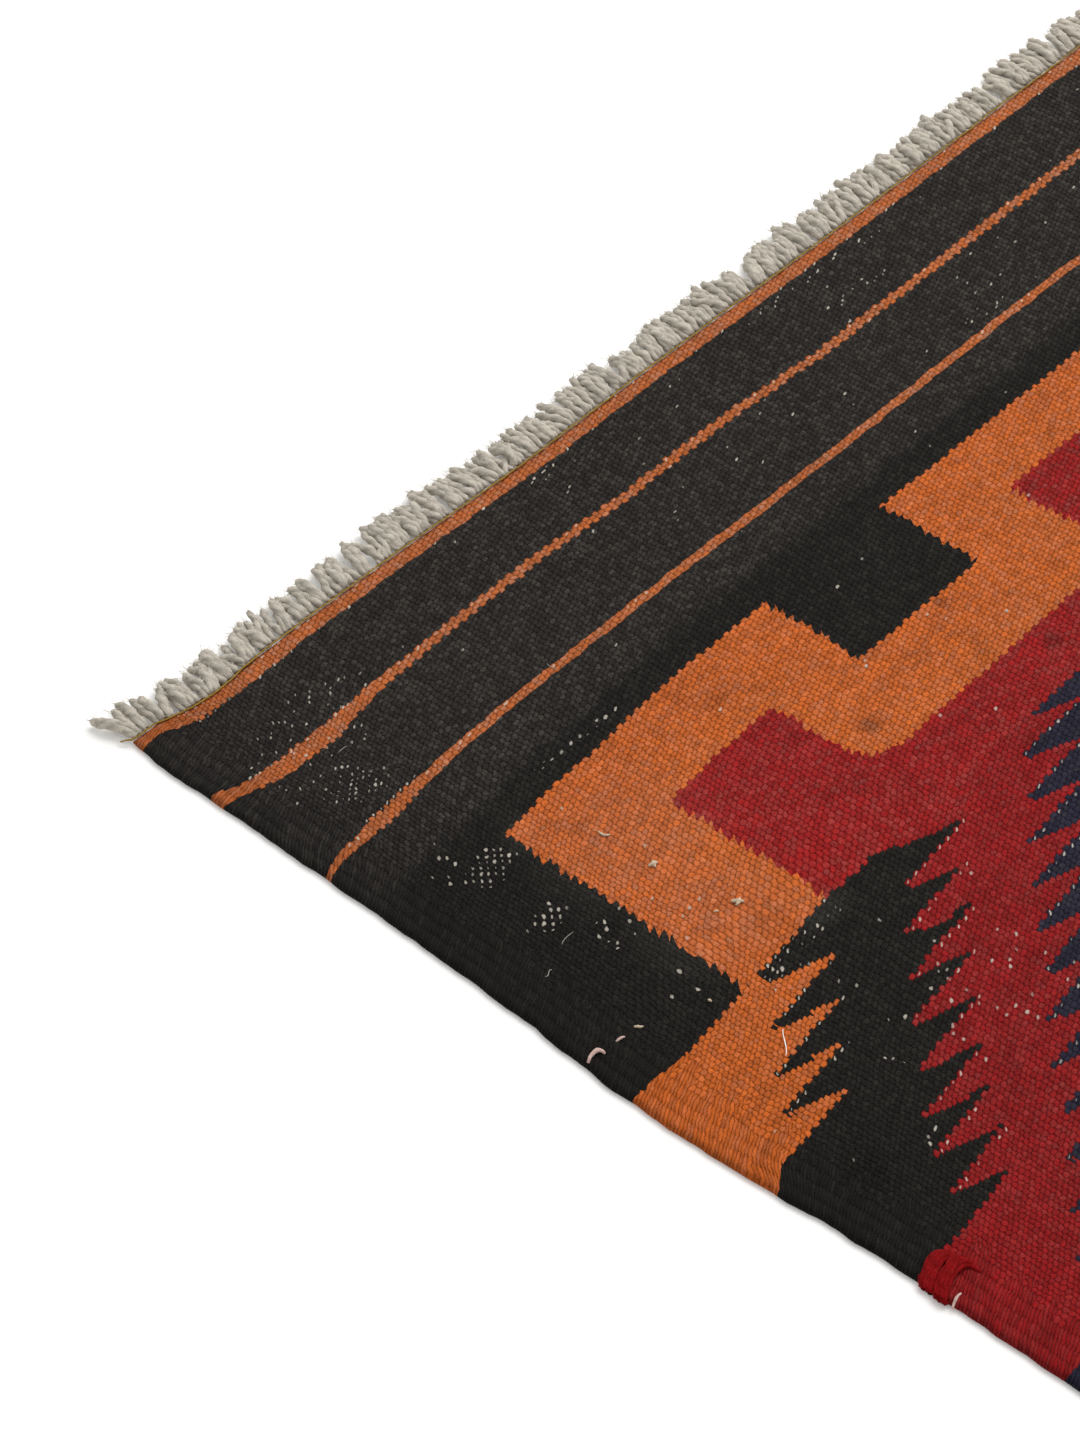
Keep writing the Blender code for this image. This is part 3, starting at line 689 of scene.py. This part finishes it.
def build_cloth(colours, sizes):
    """The woven sheet: a fine grid above, a plain one below, and a rounded selvedge all round."""
    outline = cad_outline()
    columns, rows = cloth_columns(), cloth_rows()
    x, y, across, along, side, end = cloth_points(columns, rows, outline)
    edge = np.array(EDGE_PROFILE)
    over_side = np.interp(across, edge[:, 0], edge[:, 1])
    over_end = np.interp(along, edge[:, 0], edge[:, 1] - 0.35)
    middle = sizes.cloth_thickness / MM
    fall = ease(4, SELVEDGE_WIDTH + 6, across)
    in_cords = (across < SELVEDGE_WIDTH) & (across > 2)
    cord = 0.09 * np.cos(math.tau * (across / (2 * WARP_PITCH) - 0.5)) * in_cords
    top = np.minimum(over_side * (1 - fall) + middle * fall + cord, 9.0)
    top = np.minimum(top, over_end + ease(2.2, 12, along) * 9)
    waves = soft_waves(x, y, 0.11, 3) * 0.18 + soft_waves(x, y, 0.035, 8) * 0.07
    away = ease(1, 14, np.minimum(across, along))
    top = top + waves * away
    # Little swells of the selvedge where the picks turn
    turn = soft_waves(y, side * 3.0, 0.006, 21) * 0.14 + soft_waves(y, side * 3.0, 0.017, 5) * 0.2
    x = x + side * MM * turn * (1 - ease(0, 5, across))

    row_count, column_count = x.shape
    upper = np.stack([x, y, top * MM], -1)
    index = np.arange(row_count * column_count).reshape(x.shape)
    quads = np.stack([index[:-1, :-1], index[1:, :-1], index[1:, 1:], index[:-1, 1:]], -1).reshape(-1, 4)

    # Underside: rings of the profile, then plain strips
    half = len(columns)
    keep = [0] + [j for j in range(1, half)
                  if j < 4 or columns[j] > SELVEDGE_WIDTH and j % 4 == (half - 1) % 4]
    keep = keep + [column_count - 1 - j for j in keep[-2::-1]]
    low = np.interp(np.minimum(across, along), [0.0] + [p[0] for p in UNDER_PROFILE],
                    [EDGE_PROFILE[0][1]] + [p[1] for p in UNDER_PROFILE])
    lower = np.stack([x, y, low * MM], -1)[1:-1][:, keep[1:-1]]
    base = row_count * column_count
    under = base + np.arange(lower.shape[0] * lower.shape[1]).reshape(lower.shape[:2])
    # Every row of the underside, with the rim's own points at its two ends
    rim = np.concatenate([index[1:-1, :1], under, index[1:-1, -1:]], 1)
    flat = np.stack([rim[:-1, :-1], rim[:-1, 1:], rim[1:, 1:], rim[1:, :-1]], -1).reshape(-1, 4)
    faces = flat.tolist()
    for i, (a, b) in enumerate(zip(keep, keep[1:])):
        faces.append([*index[0, a : b + 1].tolist(), int(rim[0, i + 1]), int(rim[0, i])])
        faces.append([int(rim[-1, i]), int(rim[-1, i + 1]), *index[-1, a : b + 1][::-1].tolist()])
    # A strip that ends in the rim names the rim's points twice
    faces = [list(dict.fromkeys(face)) for face in faces]
    faces = [face for face in faces if len(face) > 2] + quads.tolist()
    points = np.concatenate([upper.reshape(-1, 3), lower.reshape(-1, 3)])
    material = weave_material(colours, sizes.relief)
    cloth = add_piece("woven_cloth", points.tolist(), faces, material)

    # Where each point is in the pattern
    from_end = HALF_LENGTH - np.abs(y) / MM
    left_over = np.where(end > 0, np.interp(x, *outline["back"]) / MM - HALF_LENGTH,
                         -np.interp(x, *outline["front"]) / MM - HALF_LENGTH)
    from_corner = np.hypot(x / MM + HALF_WIDTH, y / MM - HALF_LENGTH)
    wander = soft_waves(x, y, 0.16, 14) * 0.5 * ease(60, 300, from_corner - MEASURED_REACH)
    lag = lag_field(HALF_WIDTH - np.abs(x) / MM, from_end)
    woven = from_end - lag + left_over * (1 - ease(0, 32, from_end)) - wander
    settled = from_end + (woven - from_end) * ease(0, MIDDLE_REACH, HALF_LENGTH - from_end)
    woven = np.where(from_end > HALF_LENGTH - MIDDLE_REACH, settled, woven)

    def with_underside(values):
        """Values at the points of the upper side and then at those of the underside."""
        return np.concatenate([values.ravel(), values[1:-1][:, keep[1:-1]].ravel()]).astype(np.float32)

    for name, values in (("across_mm", across), ("along_mm", woven)):
        attribute = cloth.data.attributes.new(name, "FLOAT", "POINT")
        attribute.data.foreach_set("value", with_underside(values))

    # The map that a baked colour is laid on: the pattern is the same in the four corners and below, so all of
    # them are folded over one quarter. Faces that come later win, so the upper ones are last.
    folded = np.stack([with_underside(across) / HALF_WIDTH, with_underside(along) / HALF_LENGTH], -1)
    folded = MAP_MARGIN + folded * (1 - 2 * MAP_MARGIN)
    corners = np.empty(len(cloth.data.loops), np.int32)
    cloth.data.loops.foreach_get("vertex_index", corners)
    cloth.data.uv_layers.new(name="OFBake").data.foreach_set("uv", folded[corners].ravel())
    return cloth


# --------------------------------------------------------------------------------------------------
# Fringe and thread


def sweep(paths, radii, sides, lobe=0.0, twist=0.0, start_turn=None, rough=None):
    """Twisted two-ply tubes along paths: their points, faces and plies.

    The paths are an array (n, k, 3), and their radii one of (n, k).
    """
    count, steps, _ = paths.shape
    run = np.gradient(paths, axis=1)
    run /= np.linalg.norm(run, axis=2, keepdims=True)
    sideways = np.cross(run, np.array([0.0, 0.0, 1.0]))
    sideways /= np.linalg.norm(sideways, axis=2, keepdims=True)
    upward = np.cross(sideways, run)
    lengths = np.linalg.norm(np.diff(paths, axis=1), axis=2)
    length = np.concatenate([np.zeros((count, 1)), np.cumsum(lengths, 1)], 1)
    angle = np.arange(sides) * math.tau / sides
    turned = np.zeros(count) if start_turn is None else start_turn
    ply = np.cos(2 * (angle[None, None] - length[..., None] * twist - turned[:, None, None]))
    reach = radii[..., None] * (1 + lobe * ply)
    if rough is not None:
        reach = reach * (1 + rough)
    ring = (paths[:, :, None] + (reach * np.cos(angle))[..., None] * sideways[:, :, None]
            + (reach * np.sin(angle))[..., None] * upward[:, :, None])
    points = ring.reshape(-1, 3)
    index = np.arange(count * steps * sides).reshape(count, steps, sides)
    after = np.roll(index, -1, axis=2)
    quads = np.stack([index[:, :-1], after[:, :-1], after[:, 1:], index[:, 1:]], -1).reshape(-1, 4)
    caps = [*index[:, 0, ::-1].tolist(), *index[:, -1].tolist()]
    return points, [*quads.tolist(), *caps], ply.ravel()


def add_yarn(name, swept, material):
    """A piece of swept yarn, with its plies as an attribute for its material."""
    points, faces, ply = swept
    piece = add_piece(name, points.tolist(), faces, material)
    piece.data.attributes.new("ply", "FLOAT", "POINT").data.foreach_set("value", ply.astype(np.float32))
    return piece


def smooth_path(points, steps):
    """A smooth line of so many steps through a few points."""
    points = np.array(points, float)
    from_start = np.linspace(0, 1, len(points))
    fit = np.polynomial.polynomial.polyfit(from_start, points, min(len(points) - 1, 3))
    return np.polynomial.polynomial.polyval(np.linspace(0, 1, steps), fit).T


WARPS_PER_BUNCH = 4
YARN_STEPS, YARN_SIDES = 13, 8
YARN_TWIST = math.tau / (10 * MM)  # radians a metre: a turn of the plies every 10 mm
ROOT_GAP = 0.35 * MM
ROOT_SPREAD, TIP_SPREAD = 1.7 * MM, 2.7 * MM  # between neighbouring yarns of a bunch
FRINGE_SEEDS = {"back": 5, "front": 17}
# Slopes to the side: a bunch's usual lean and its spread, the spread of its yarns, and how far a stray one
# turns
BUNCH_LEAN, YARN_TURN, STRAY_TURN = (0.10, 0.13), 0.12, (0.25, 0.7)
STRAY_SHARE = 0.12  # of the yarns
BUNCH_REACH = (0.82, 1.0)  # of the fringe's length
YARN_REACH, TOP_REACH = (0.80, 1.0), 0.9  # of the bunch's, and how much shorter the yarn on top is
YARN_KINK = (0.3, 0.8)  # mm that a yarn sways from side to side
YARN_THICKNESS = (0.88, 1.18)  # of the usual radius
HIGH_CREST, LOW_CREST = (1.5, 2.6), (0.6, 1.6)  # mm that the middle of a yarn arches up
HIGH_TIP, LOW_TIP = (0.8, 2.6), (0.0, 1.4)  # mm that its tip stands up
ROUGH_WOOL = 0.10  # how far the yarn's surface wanders, of its radius
YARN_LIFT = 1.3  # of its radius, the least height of a yarn's middle line, so that it clears the floor
YARN_LOBE, THREAD_LOBE, STRAND_LOBE = 0.16, 0.2, 0.10  # how far the plies stand out, of the radius
TIP_FIBRES, SIDE_FIBRES = 6, 4
TIP_FIBRE_LENGTH, SIDE_FIBRE_LENGTH = (1.4, 3.4), (1.0, 2.6)  # mm
TIP_SCATTER = 0.45  # of the fibres at a tip: of the yarn's radius where they start, and a slope in their aim
FIBRE_BEND, FIBRE_TAPER = 0.35, 0.6
FIBRE_STEPS, FIBRE_SIDES = 4, 3
FIBRE_RADIUS = 0.13 * MM  # several real fibres that cling together
FIBRE_LIFT = 0.15 * MM  # the least height of their middle lines


def fringe_paths(end, sizes, outline):
    """Centre lines and radii of the plied warp ends, four to a bunch and one more that rides on top."""
    draw = random.Random(FRINGE_SEEDS[end])
    sign = 1 if end == "back" else -1
    places, edge = outline[end]
    low, high = places[0], places[-1]
    count = round((high - low) / (WARPS_PER_BUNCH * WARP_PITCH * MM))
    pitch = (high - low) / count
    t = np.linspace(0, 1, YARN_STEPS)
    paths, radii = [], []
    for i in range(count):
        middle = low + (i + 0.5) * pitch
        lean = draw.gauss(*BUNCH_LEAN)
        reach = sizes.fringe_length * draw.uniform(*BUNCH_REACH)
        for k in range(WARPS_PER_BUNCH + 1):
            on_top = k == WARPS_PER_BUNCH
            slot = draw.uniform(-1.0, 1.0) if on_top else k - (WARPS_PER_BUNCH - 1) / 2
            length = reach * draw.uniform(*YARN_REACH) * (TOP_REACH if on_top else 1.0)
            stray = 0.0
            if draw.random() < STRAY_SHARE:
                stray = draw.choice((-1, 1)) * draw.uniform(*STRAY_TURN)
            turn = lean + draw.gauss(0, YARN_TURN) + stray
            spread = ROOT_SPREAD + (TIP_SPREAD - ROOT_SPREAD) * t ** 0.6
            kink = draw.uniform(*YARN_KINK) * MM
            wave = kink * np.sin(t * draw.uniform(3, 8) + draw.uniform(0, math.tau)) * t ** 0.6
            x = middle + slot * spread + turn * length * t ** 1.3 + wave
            y = sign * (ROOT_GAP + t * (length - ROOT_GAP) * (1 - 0.3 * min(abs(turn), 1.0)))
            y = y + np.interp(x, places, edge)
            thick = sizes.yarn_radius * draw.uniform(*YARN_THICKNESS)
            radius = thick * (0.80 + 0.24 * ease(0, 0.3, t)) * (1 - 0.38 * ease(0.86, 1, t) ** 2)
            lying = thick + (0.55 * MM if k % 2 else 0.1 * MM) + draw.uniform(0, 0.5) * MM
            crest = draw.uniform(*(HIGH_CREST if on_top or k in (1, 2) else LOW_CREST)) * MM
            tip = draw.uniform(*(HIGH_TIP if on_top else LOW_TIP)) * MM
            arch = np.sin(np.clip(t * 1.15 + 0.02, 0, 1) * math.pi) ** 0.7
            z = lying + crest * arch + tip * ease(0.4, 1, t)
            z = z + draw.uniform(0.0, 0.4) * MM * np.sin(t * draw.uniform(5, 9) + draw.uniform(0, 6))
            paths.append(np.stack([x, y, np.maximum(z, radius * YARN_LIFT)], -1))
            radii.append(radius)
    return np.array(paths), np.array(radii)


def build_fringe(end, colours, sizes, outline):
    """The plied warp ends of one end of the rug, as one piece, and the loose fibres that stand off them."""
    paths, radii = fringe_paths(end, sizes, outline)
    draw = np.random.default_rng(FRINGE_SEEDS[end])
    turns = draw.uniform(0, math.tau, len(paths))
    rough = draw.normal(0, ROUGH_WOOL, (*radii.shape, YARN_SIDES))
    name = "Plied undyed warp yarn"
    material = bpy.data.materials.get(name) or yarn_material(name, colours.undyed)
    swept = sweep(paths, radii, YARN_SIDES, YARN_LOBE, YARN_TWIST, turns, rough)
    yarns = add_yarn("plied_fringe_" + end, swept, material)

    run = paths[:, -1] - paths[:, -3]
    run /= np.linalg.norm(run, axis=1, keepdims=True)
    starts, aims, lengths = [], [], []
    for _ in range(TIP_FIBRES):
        off = draw.normal(0, TIP_SCATTER, paths[:, -1].shape) * radii[:, -1:]
        starts.append(paths[:, -1] + off - run * 0.8 * MM)
        aims.append(run + draw.normal(0, TIP_SCATTER, run.shape))
        lengths.append(draw.uniform(*TIP_FIBRE_LENGTH, len(run)))
    for _ in range(SIDE_FIBRES):
        step = draw.integers(2, YARN_STEPS - 1, len(run))
        aim_at = draw.normal(0, 1, run.shape)
        aim_at[:, 2] = np.abs(aim_at[:, 2])
        aim_at /= np.linalg.norm(aim_at, axis=1, keepdims=True)
        each = np.arange(len(run))
        starts.append(paths[each, step] + aim_at * radii[each, step][:, None] * 0.8)
        aims.append(aim_at * 0.7 + run * 0.8)
        lengths.append(draw.uniform(*SIDE_FIBRE_LENGTH, len(run)))
    starts, aims, lengths = (np.concatenate(parts) for parts in (starts, aims, lengths))
    lengths = lengths * MM
    aims /= np.linalg.norm(aims, axis=1, keepdims=True)
    t = np.linspace(0, 1, FIBRE_STEPS)[None, :, None]
    bend = draw.normal(0, FIBRE_BEND, aims.shape)[:, None] * t ** 2
    strands = starts[:, None] + (aims[:, None] * t + bend) * lengths[:, None, None]
    strands[..., 2] = np.maximum(strands[..., 2], FIBRE_LIFT)
    thin = FIBRE_RADIUS * (1 - FIBRE_TAPER * t[..., 0]) * np.ones((len(strands), 1))
    points, faces, _ = sweep(strands, thin, FIBRE_SIDES)
    name = "Loose undyed wool fibres"
    material = bpy.data.materials.get(name) or fibre_material(name, linear(PALE_FIBRE))
    return yarns, add_piece("fringe_fibres_" + end, points.tolist(), faces, material)


THREAD_STEP = 0.8 * MM
THREAD_SIDES = 6
THREAD_TWIST = math.tau / (2.2 * MM)
THREAD_END, THREAD_PAST = 2.6 * MM, 1.5 * MM  # past the first corner, where it hangs loose, and the last
THREAD_AT, THREAD_HEIGHT = -0.60, 2.75  # mm past the end of the cloth, so just inside it, and up
THREAD_BOW, THREAD_DIP = 0.25, 0.2  # mm that it bows and dips at every bunch
THREAD_SPLAY, THREAD_DROOP = 3.4 * MM, 1.4 * MM  # how far its loose end stands off and hangs down


def build_thread(end, colours, sizes, outline):
    """The olive thread oversewn along the roots of the fringe, its first end standing out at the corner."""
    sign = 1 if end == "back" else -1
    places, edge = outline[end]
    low, high = places[0], places[-1]
    x = np.arange(low - THREAD_END, high + THREAD_PAST, THREAD_STEP)
    pitch = WARPS_PER_BUNCH * WARP_PITCH * MM
    phase = (x - low) / pitch * math.tau
    along = THREAD_AT + THREAD_BOW * np.cos(phase) + soft_waves(x, x * 0, 0.03, 4) * 0.15
    y = np.interp(x, places, edge) + sign * along * MM
    z = (THREAD_HEIGHT - THREAD_DIP * np.cos(phase) + soft_waves(x, x * 0, 0.02, 9) * 0.1) * MM
    loose = np.clip((low - x) / THREAD_END, 0, 1)
    z = z - THREAD_DROOP * loose ** 1.5
    y = y + sign * THREAD_SPLAY * loose
    path = np.stack([x, y, z], -1)[None]
    radii = np.full(path.shape[:2], sizes.thread_radius)
    name = "Olive wool thread"
    material = bpy.data.materials.get(name) or yarn_material(name, colours.olive, hairy=0.03)
    swept = sweep(path, radii, THREAD_SIDES, THREAD_LOBE, THREAD_TWIST)
    return add_yarn("edge_thread_" + end, swept, material)


# Where the side was overcast with thick red thread: the middle line of each of two soft turns, across, along
# and up
OVERCAST = (
    ((0.5, 334.4, 1.0), (1.6, 333.9, 3.0), (6.8, 331.0, 4.1), (11.4, 331.4, 3.5), (14.8, 335.6, 1.4)),
    ((0.3, 340.2, 1.0), (0.9, 339.4, 3.0), (7.4, 336.4, 4.4), (13.3, 336.8, 3.5), (15.2, 341.4, 1.4)),
)
OVERCAST_STRANDS, STRAND_SPACING, STRAND_RADIUS = 4, 1.15, 1.0 * MM
OVERCAST_SHADE = 0.95  # of the crimson dye
OVERCAST_SEED = 3
STRAND_SAG, STRAND_JITTER = 0.22, 0.08 * MM  # how much lower the outer strands lie, and how far each strays
STRAND_THICKNESS = (0.9, 1.15)  # of their usual radius


def build_overcast(colours):
    """The side's overcast stitches: two soft turns of four strands each, their ends tucked into the cloth."""
    draw = np.random.default_rng(OVERCAST_SEED)
    paths = []
    for turn in OVERCAST:
        for k in range(OVERCAST_STRANDS):
            off = (k - (OVERCAST_STRANDS - 1) / 2) * STRAND_SPACING
            path = smooth_path([in_corner(x, y + off, z) for x, y, z in turn], YARN_STEPS)
            path[:, 2] -= STRAND_SAG * off * off * MM * np.sin(np.linspace(0, math.pi, YARN_STEPS))
            paths.append(path + draw.normal(0, STRAND_JITTER, path.shape))
    paths = np.array(paths)
    radii = np.full(paths.shape[:2], STRAND_RADIUS) * draw.uniform(*STRAND_THICKNESS, (len(paths), 1))
    rough = draw.normal(0, ROUGH_WOOL, (*radii.shape, YARN_SIDES))
    turns = draw.uniform(0, math.tau, len(paths))
    dye = [OVERCAST_SHADE * c for c in colours.crimson]
    material = yarn_material("Red wool thread", dye, hairy=0.01)
    swept = sweep(paths, radii, YARN_SIDES, STRAND_LOBE, YARN_TWIST, turns, rough)
    return add_yarn("overcast_stitches", swept, material)


# Lint on the photographed corner: for each kind its colour, and each bit's radius in mm and its places across
# and along
LINT = {
    "pink": ("#C7A79D", (
        (0.80, (-0.1, 203.4), (3.4, 202.4), (5.6, 203.0), (5.9, 205.1)),
        (0.45, (12.1, 204.2), (13.9, 204.3), (15.5, 204.9)),
        (0.48, (-0.7, 345.0), (1.5, 344.1), (4.7, 343.8)),
    )),
    "beige": ("#C6B297", (
        (0.50, (20.8, 204.0), (21.3, 205.2), (22.6, 206.1)),
        (0.75, (81.3, 192.4), (82.6, 193.8), (84.0, 195.4)),
        (0.60, (81.0, 194.6), (82.4, 194.4), (84.4, 193.4)),
        (0.40, (74.2, 191.2), (74.9, 191.5), (75.6, 192.1)),
        (0.45, (77.3, 140.0), (77.2, 142.6), (78.8, 143.7)),
        (0.42, (44.6, 213.8), (44.6, 214.5), (44.7, 215.2)),
        (0.70, (75.9, 162.5), (77.5, 163.1), (79.2, 163.4)),
        (0.55, (77.1, 164.5), (77.8, 163.1), (78.7, 161.8)),
    )),
    "grey": ("#A39E96", (
        (0.11, (32.0, 164.5), (34.5, 163.5), (38.5, 163.4)),
        (0.14, (18.2, 169.6), (19.2, 170.0), (20.6, 169.1), (21.9, 169.2)),
        (0.13, (124.9, 75.7), (124.6, 78.3), (125.5, 80.1)),
        (0.11, (47.7, 52.8), (49.9, 52.5), (52.0, 52.7)),
    )),
    "white": ("#F4F2EE", ((0.20, (50.7, 238.8), (48.0, 241.4), (45.6, 244.2), (42.7, 246.6)),)),
}
LINT_STEPS = 8
LINT_ROUGH = 0.15  # how far its surface wanders, of its radius
LINT_FLOOR = 1.5 * MM  # the height of a bit that lies past the edge of the cloth


def build_lint(cloth):
    """Bits of lint and pale fibre caught on the wool, one piece for each kind, lying on the cloth."""
    mesh = cloth.data
    ground = BVHTree.FromPolygons([v.co for v in mesh.vertices], [p.vertices for p in mesh.polygons])
    along = np.linspace(0, math.pi, LINT_STEPS)
    for kind, (dye, bits) in LINT.items():
        draw = np.random.default_rng(len(bits))
        paths, radii = [], []
        for thick, *places in bits:
            path = smooth_path([in_corner(*place) for place in places], LINT_STEPS)
            for point, lift in zip(path, np.sin(along)):
                below = ground.ray_cast(Vector((point[0], point[1], 1.0)), Vector((0, 0, -1)))[0]
                point[2] = (below.z if below else LINT_FLOOR) + (0.35 + 0.5 * lift) * thick * MM
            paths.append(path)
            radii.append(thick * MM * (0.35 + 0.65 * np.sin(0.25 + along * (1 - 0.5 / math.pi))))
        paths, radii = np.array(paths), np.array(radii)
        rough = draw.normal(0, LINT_ROUGH, (*radii.shape, YARN_SIDES))
        points, faces, _ = sweep(paths, radii, YARN_SIDES, rough=rough)
        material = fibre_material(f"Wool lint, {kind}", linear(dye))
        yield add_piece("lint_" + kind, points.tolist(), faces, material)


# --------------------------------------------------------------------------------------------------
# Operators


class KILIM_OT_weave(bpy.types.Operator):
    """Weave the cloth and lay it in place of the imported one"""

    bl_idname = "kilim.weave"
    bl_label = "Weave Cloth"

    def execute(self, context):
        scene = context.scene
        cloth = build_cloth(scene.kilim_colours, scene.kilim_sizes)
        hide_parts("rug_cloth")
        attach(cloth, "root")
        return {"FINISHED"}


class KILIM_OT_fringe(bpy.types.Operator):
    """Lay the plied fringe at both ends"""

    bl_idname = "kilim.fringe"
    bl_label = "Lay Fringe"

    def execute(self, context):
        scene, outline = context.scene, cad_outline()
        for end in ("back", "front"):
            fringe, fibres = build_fringe(end, scene.kilim_colours, scene.kilim_sizes, outline)
            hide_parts("fringe_" + end)
            for piece in (fringe, fibres):
                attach(piece, "root")
        return {"FINISHED"}


class KILIM_OT_thread(bpy.types.Operator):
    """Oversew both ends with the olive thread"""

    bl_idname = "kilim.thread"
    bl_label = "Oversew Ends"

    def execute(self, context):
        scene, outline = context.scene, cad_outline()
        for end in ("back", "front"):
            thread = build_thread(end, scene.kilim_colours, scene.kilim_sizes, outline)
            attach(thread, "root")
        return {"FINISHED"}


class KILIM_OT_mend(bpy.types.Operator):
    """Overcast the side with red thread where it was mended"""

    bl_idname = "kilim.mend"
    bl_label = "Overcast Side"

    def execute(self, context):
        stitches = build_overcast(context.scene.kilim_colours)
        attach(stitches, "root")
        return {"FINISHED"}


class KILIM_OT_lint(bpy.types.Operator):
    """Scatter the lint that has caught on the cloth"""

    bl_idname = "kilim.lint"
    bl_label = "Scatter Lint"

    def execute(self, context):
        for piece in build_lint(bpy.data.objects["woven_cloth"]):
            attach(piece, "root")
        return {"FINISHED"}


CAMERA = {
    "at": (-1.3192, 0.1489, 1.0354), "towards": (-0.5220, 0.8579, 0.0024), "lens": 112.5, "sensor": 36.0,
}
# The floor lies a little under the cloth, so that the two surfaces never coincide
FLOOR_SIZE, FLOOR_DROP = 12.0, 0.05 * MM
FLOOR_GLOW, ROOM_LIGHT = 0.12, 0.68
SOFT_BOX = {"at": (1.4, 0.9, 2.2), "towards": (-0.3, 0.6, 0.0), "size": 2.4, "watts": 70.0}
WHITE = (1.0, 1.0, 1.0, 1.0)


class KILIM_OT_stage(bpy.types.Operator):
    """Set up the pale floor, the soft light and the camera"""

    bl_idname = "kilim.stage"
    bl_label = "Set Stage"

    def execute(self, context):
        scene = context.scene
        material, add = new_material("Matt white floor paint")
        surface = add("BsdfPrincipled", {
            "Base Color": linear("#F6F5F3"), "Roughness": 0.9, "Specular IOR Level": 0.1,
            "Emission Color": WHITE, "Emission Strength": FLOOR_GLOW,
        })
        add("OutputMaterial", {"Surface": surface})
        half = FLOOR_SIZE / 2
        corners = [(-half, -half, 0), (half, -half, 0), (half, half, 0), (-half, half, 0)]
        floor = add_piece("studio_floor", corners, [(0, 1, 2, 3)], material, smooth=False)
        floor.location.z = -FLOOR_DROP

        world = bpy.data.worlds.new("Soft white room")
        scene.world = world
        world.use_nodes = True
        background = world.node_tree.nodes["Background"]
        background.inputs["Color"].default_value = WHITE
        background.inputs["Strength"].default_value = ROOM_LIGHT

        light = bpy.data.lights.new("Large soft box", "AREA")
        light.shape, light.size, light.energy = "SQUARE", SOFT_BOX["size"], SOFT_BOX["watts"]
        lamp = bpy.data.objects.new("Large soft box", light)
        lamp.location = SOFT_BOX["at"]
        scene.collection.objects.link(lamp)
        aim(lamp, SOFT_BOX["towards"])

        lens = bpy.data.cameras.new("Photograph")
        lens.lens, lens.sensor_width = CAMERA["lens"], CAMERA["sensor"]
        camera = bpy.data.objects.new("Photograph", lens)
        camera.location = CAMERA["at"]
        scene.collection.objects.link(camera)
        aim(camera, CAMERA["towards"])
        scene.camera = camera
        scene.view_settings.view_transform = "Standard"
        return {"FINISHED"}


def aim(thing, target):
    """Turns a lamp or camera to look at a point, level with the horizon."""
    run = Vector(target) - thing.location
    thing.rotation_euler = run.to_track_quat("-Z", "Y").to_euler()


class KILIM_PT_panel(bpy.types.Panel):
    """Everything that makes the rug, in order"""

    bl_idname = "KILIM_PT_panel"
    bl_label = "Kilim Rug"
    bl_space_type = "VIEW_3D"
    bl_region_type = "UI"
    bl_category = "Kilim"

    def draw(self, context):
        scene, layout = context.scene, self.layout
        for group in (scene.kilim_colours, scene.kilim_sizes):
            box = layout.box()
            for name in group.bl_rna.properties.keys():
                if name not in ("rna_type", "name"):
                    box.prop(group, name)
        for operator in OPERATORS:
            layout.operator(operator.bl_idname)


OPERATORS = (KILIM_OT_stage, KILIM_OT_weave, KILIM_OT_fringe, KILIM_OT_thread, KILIM_OT_mend, KILIM_OT_lint)
GROUPS = (KilimColours, KilimSizes)


def register():
    for thing in (*GROUPS, *OPERATORS, KILIM_PT_panel):
        bpy.utils.register_class(thing)
    bpy.types.Scene.kilim_colours = bpy.props.PointerProperty(type=KilimColours)
    bpy.types.Scene.kilim_sizes = bpy.props.PointerProperty(type=KilimSizes)


def unregister():
    del bpy.types.Scene.kilim_sizes, bpy.types.Scene.kilim_colours
    for thing in (KILIM_PT_panel, *OPERATORS[::-1], *GROUPS[::-1]):
        bpy.utils.unregister_class(thing)


def main():
    register()
    bpy.ops.kilim.stage()
    bpy.ops.kilim.weave()
    bpy.ops.kilim.fringe()
    bpy.ops.kilim.thread()
    bpy.ops.kilim.mend()
    bpy.ops.kilim.lint()


if __name__ == "__main__":
    main()
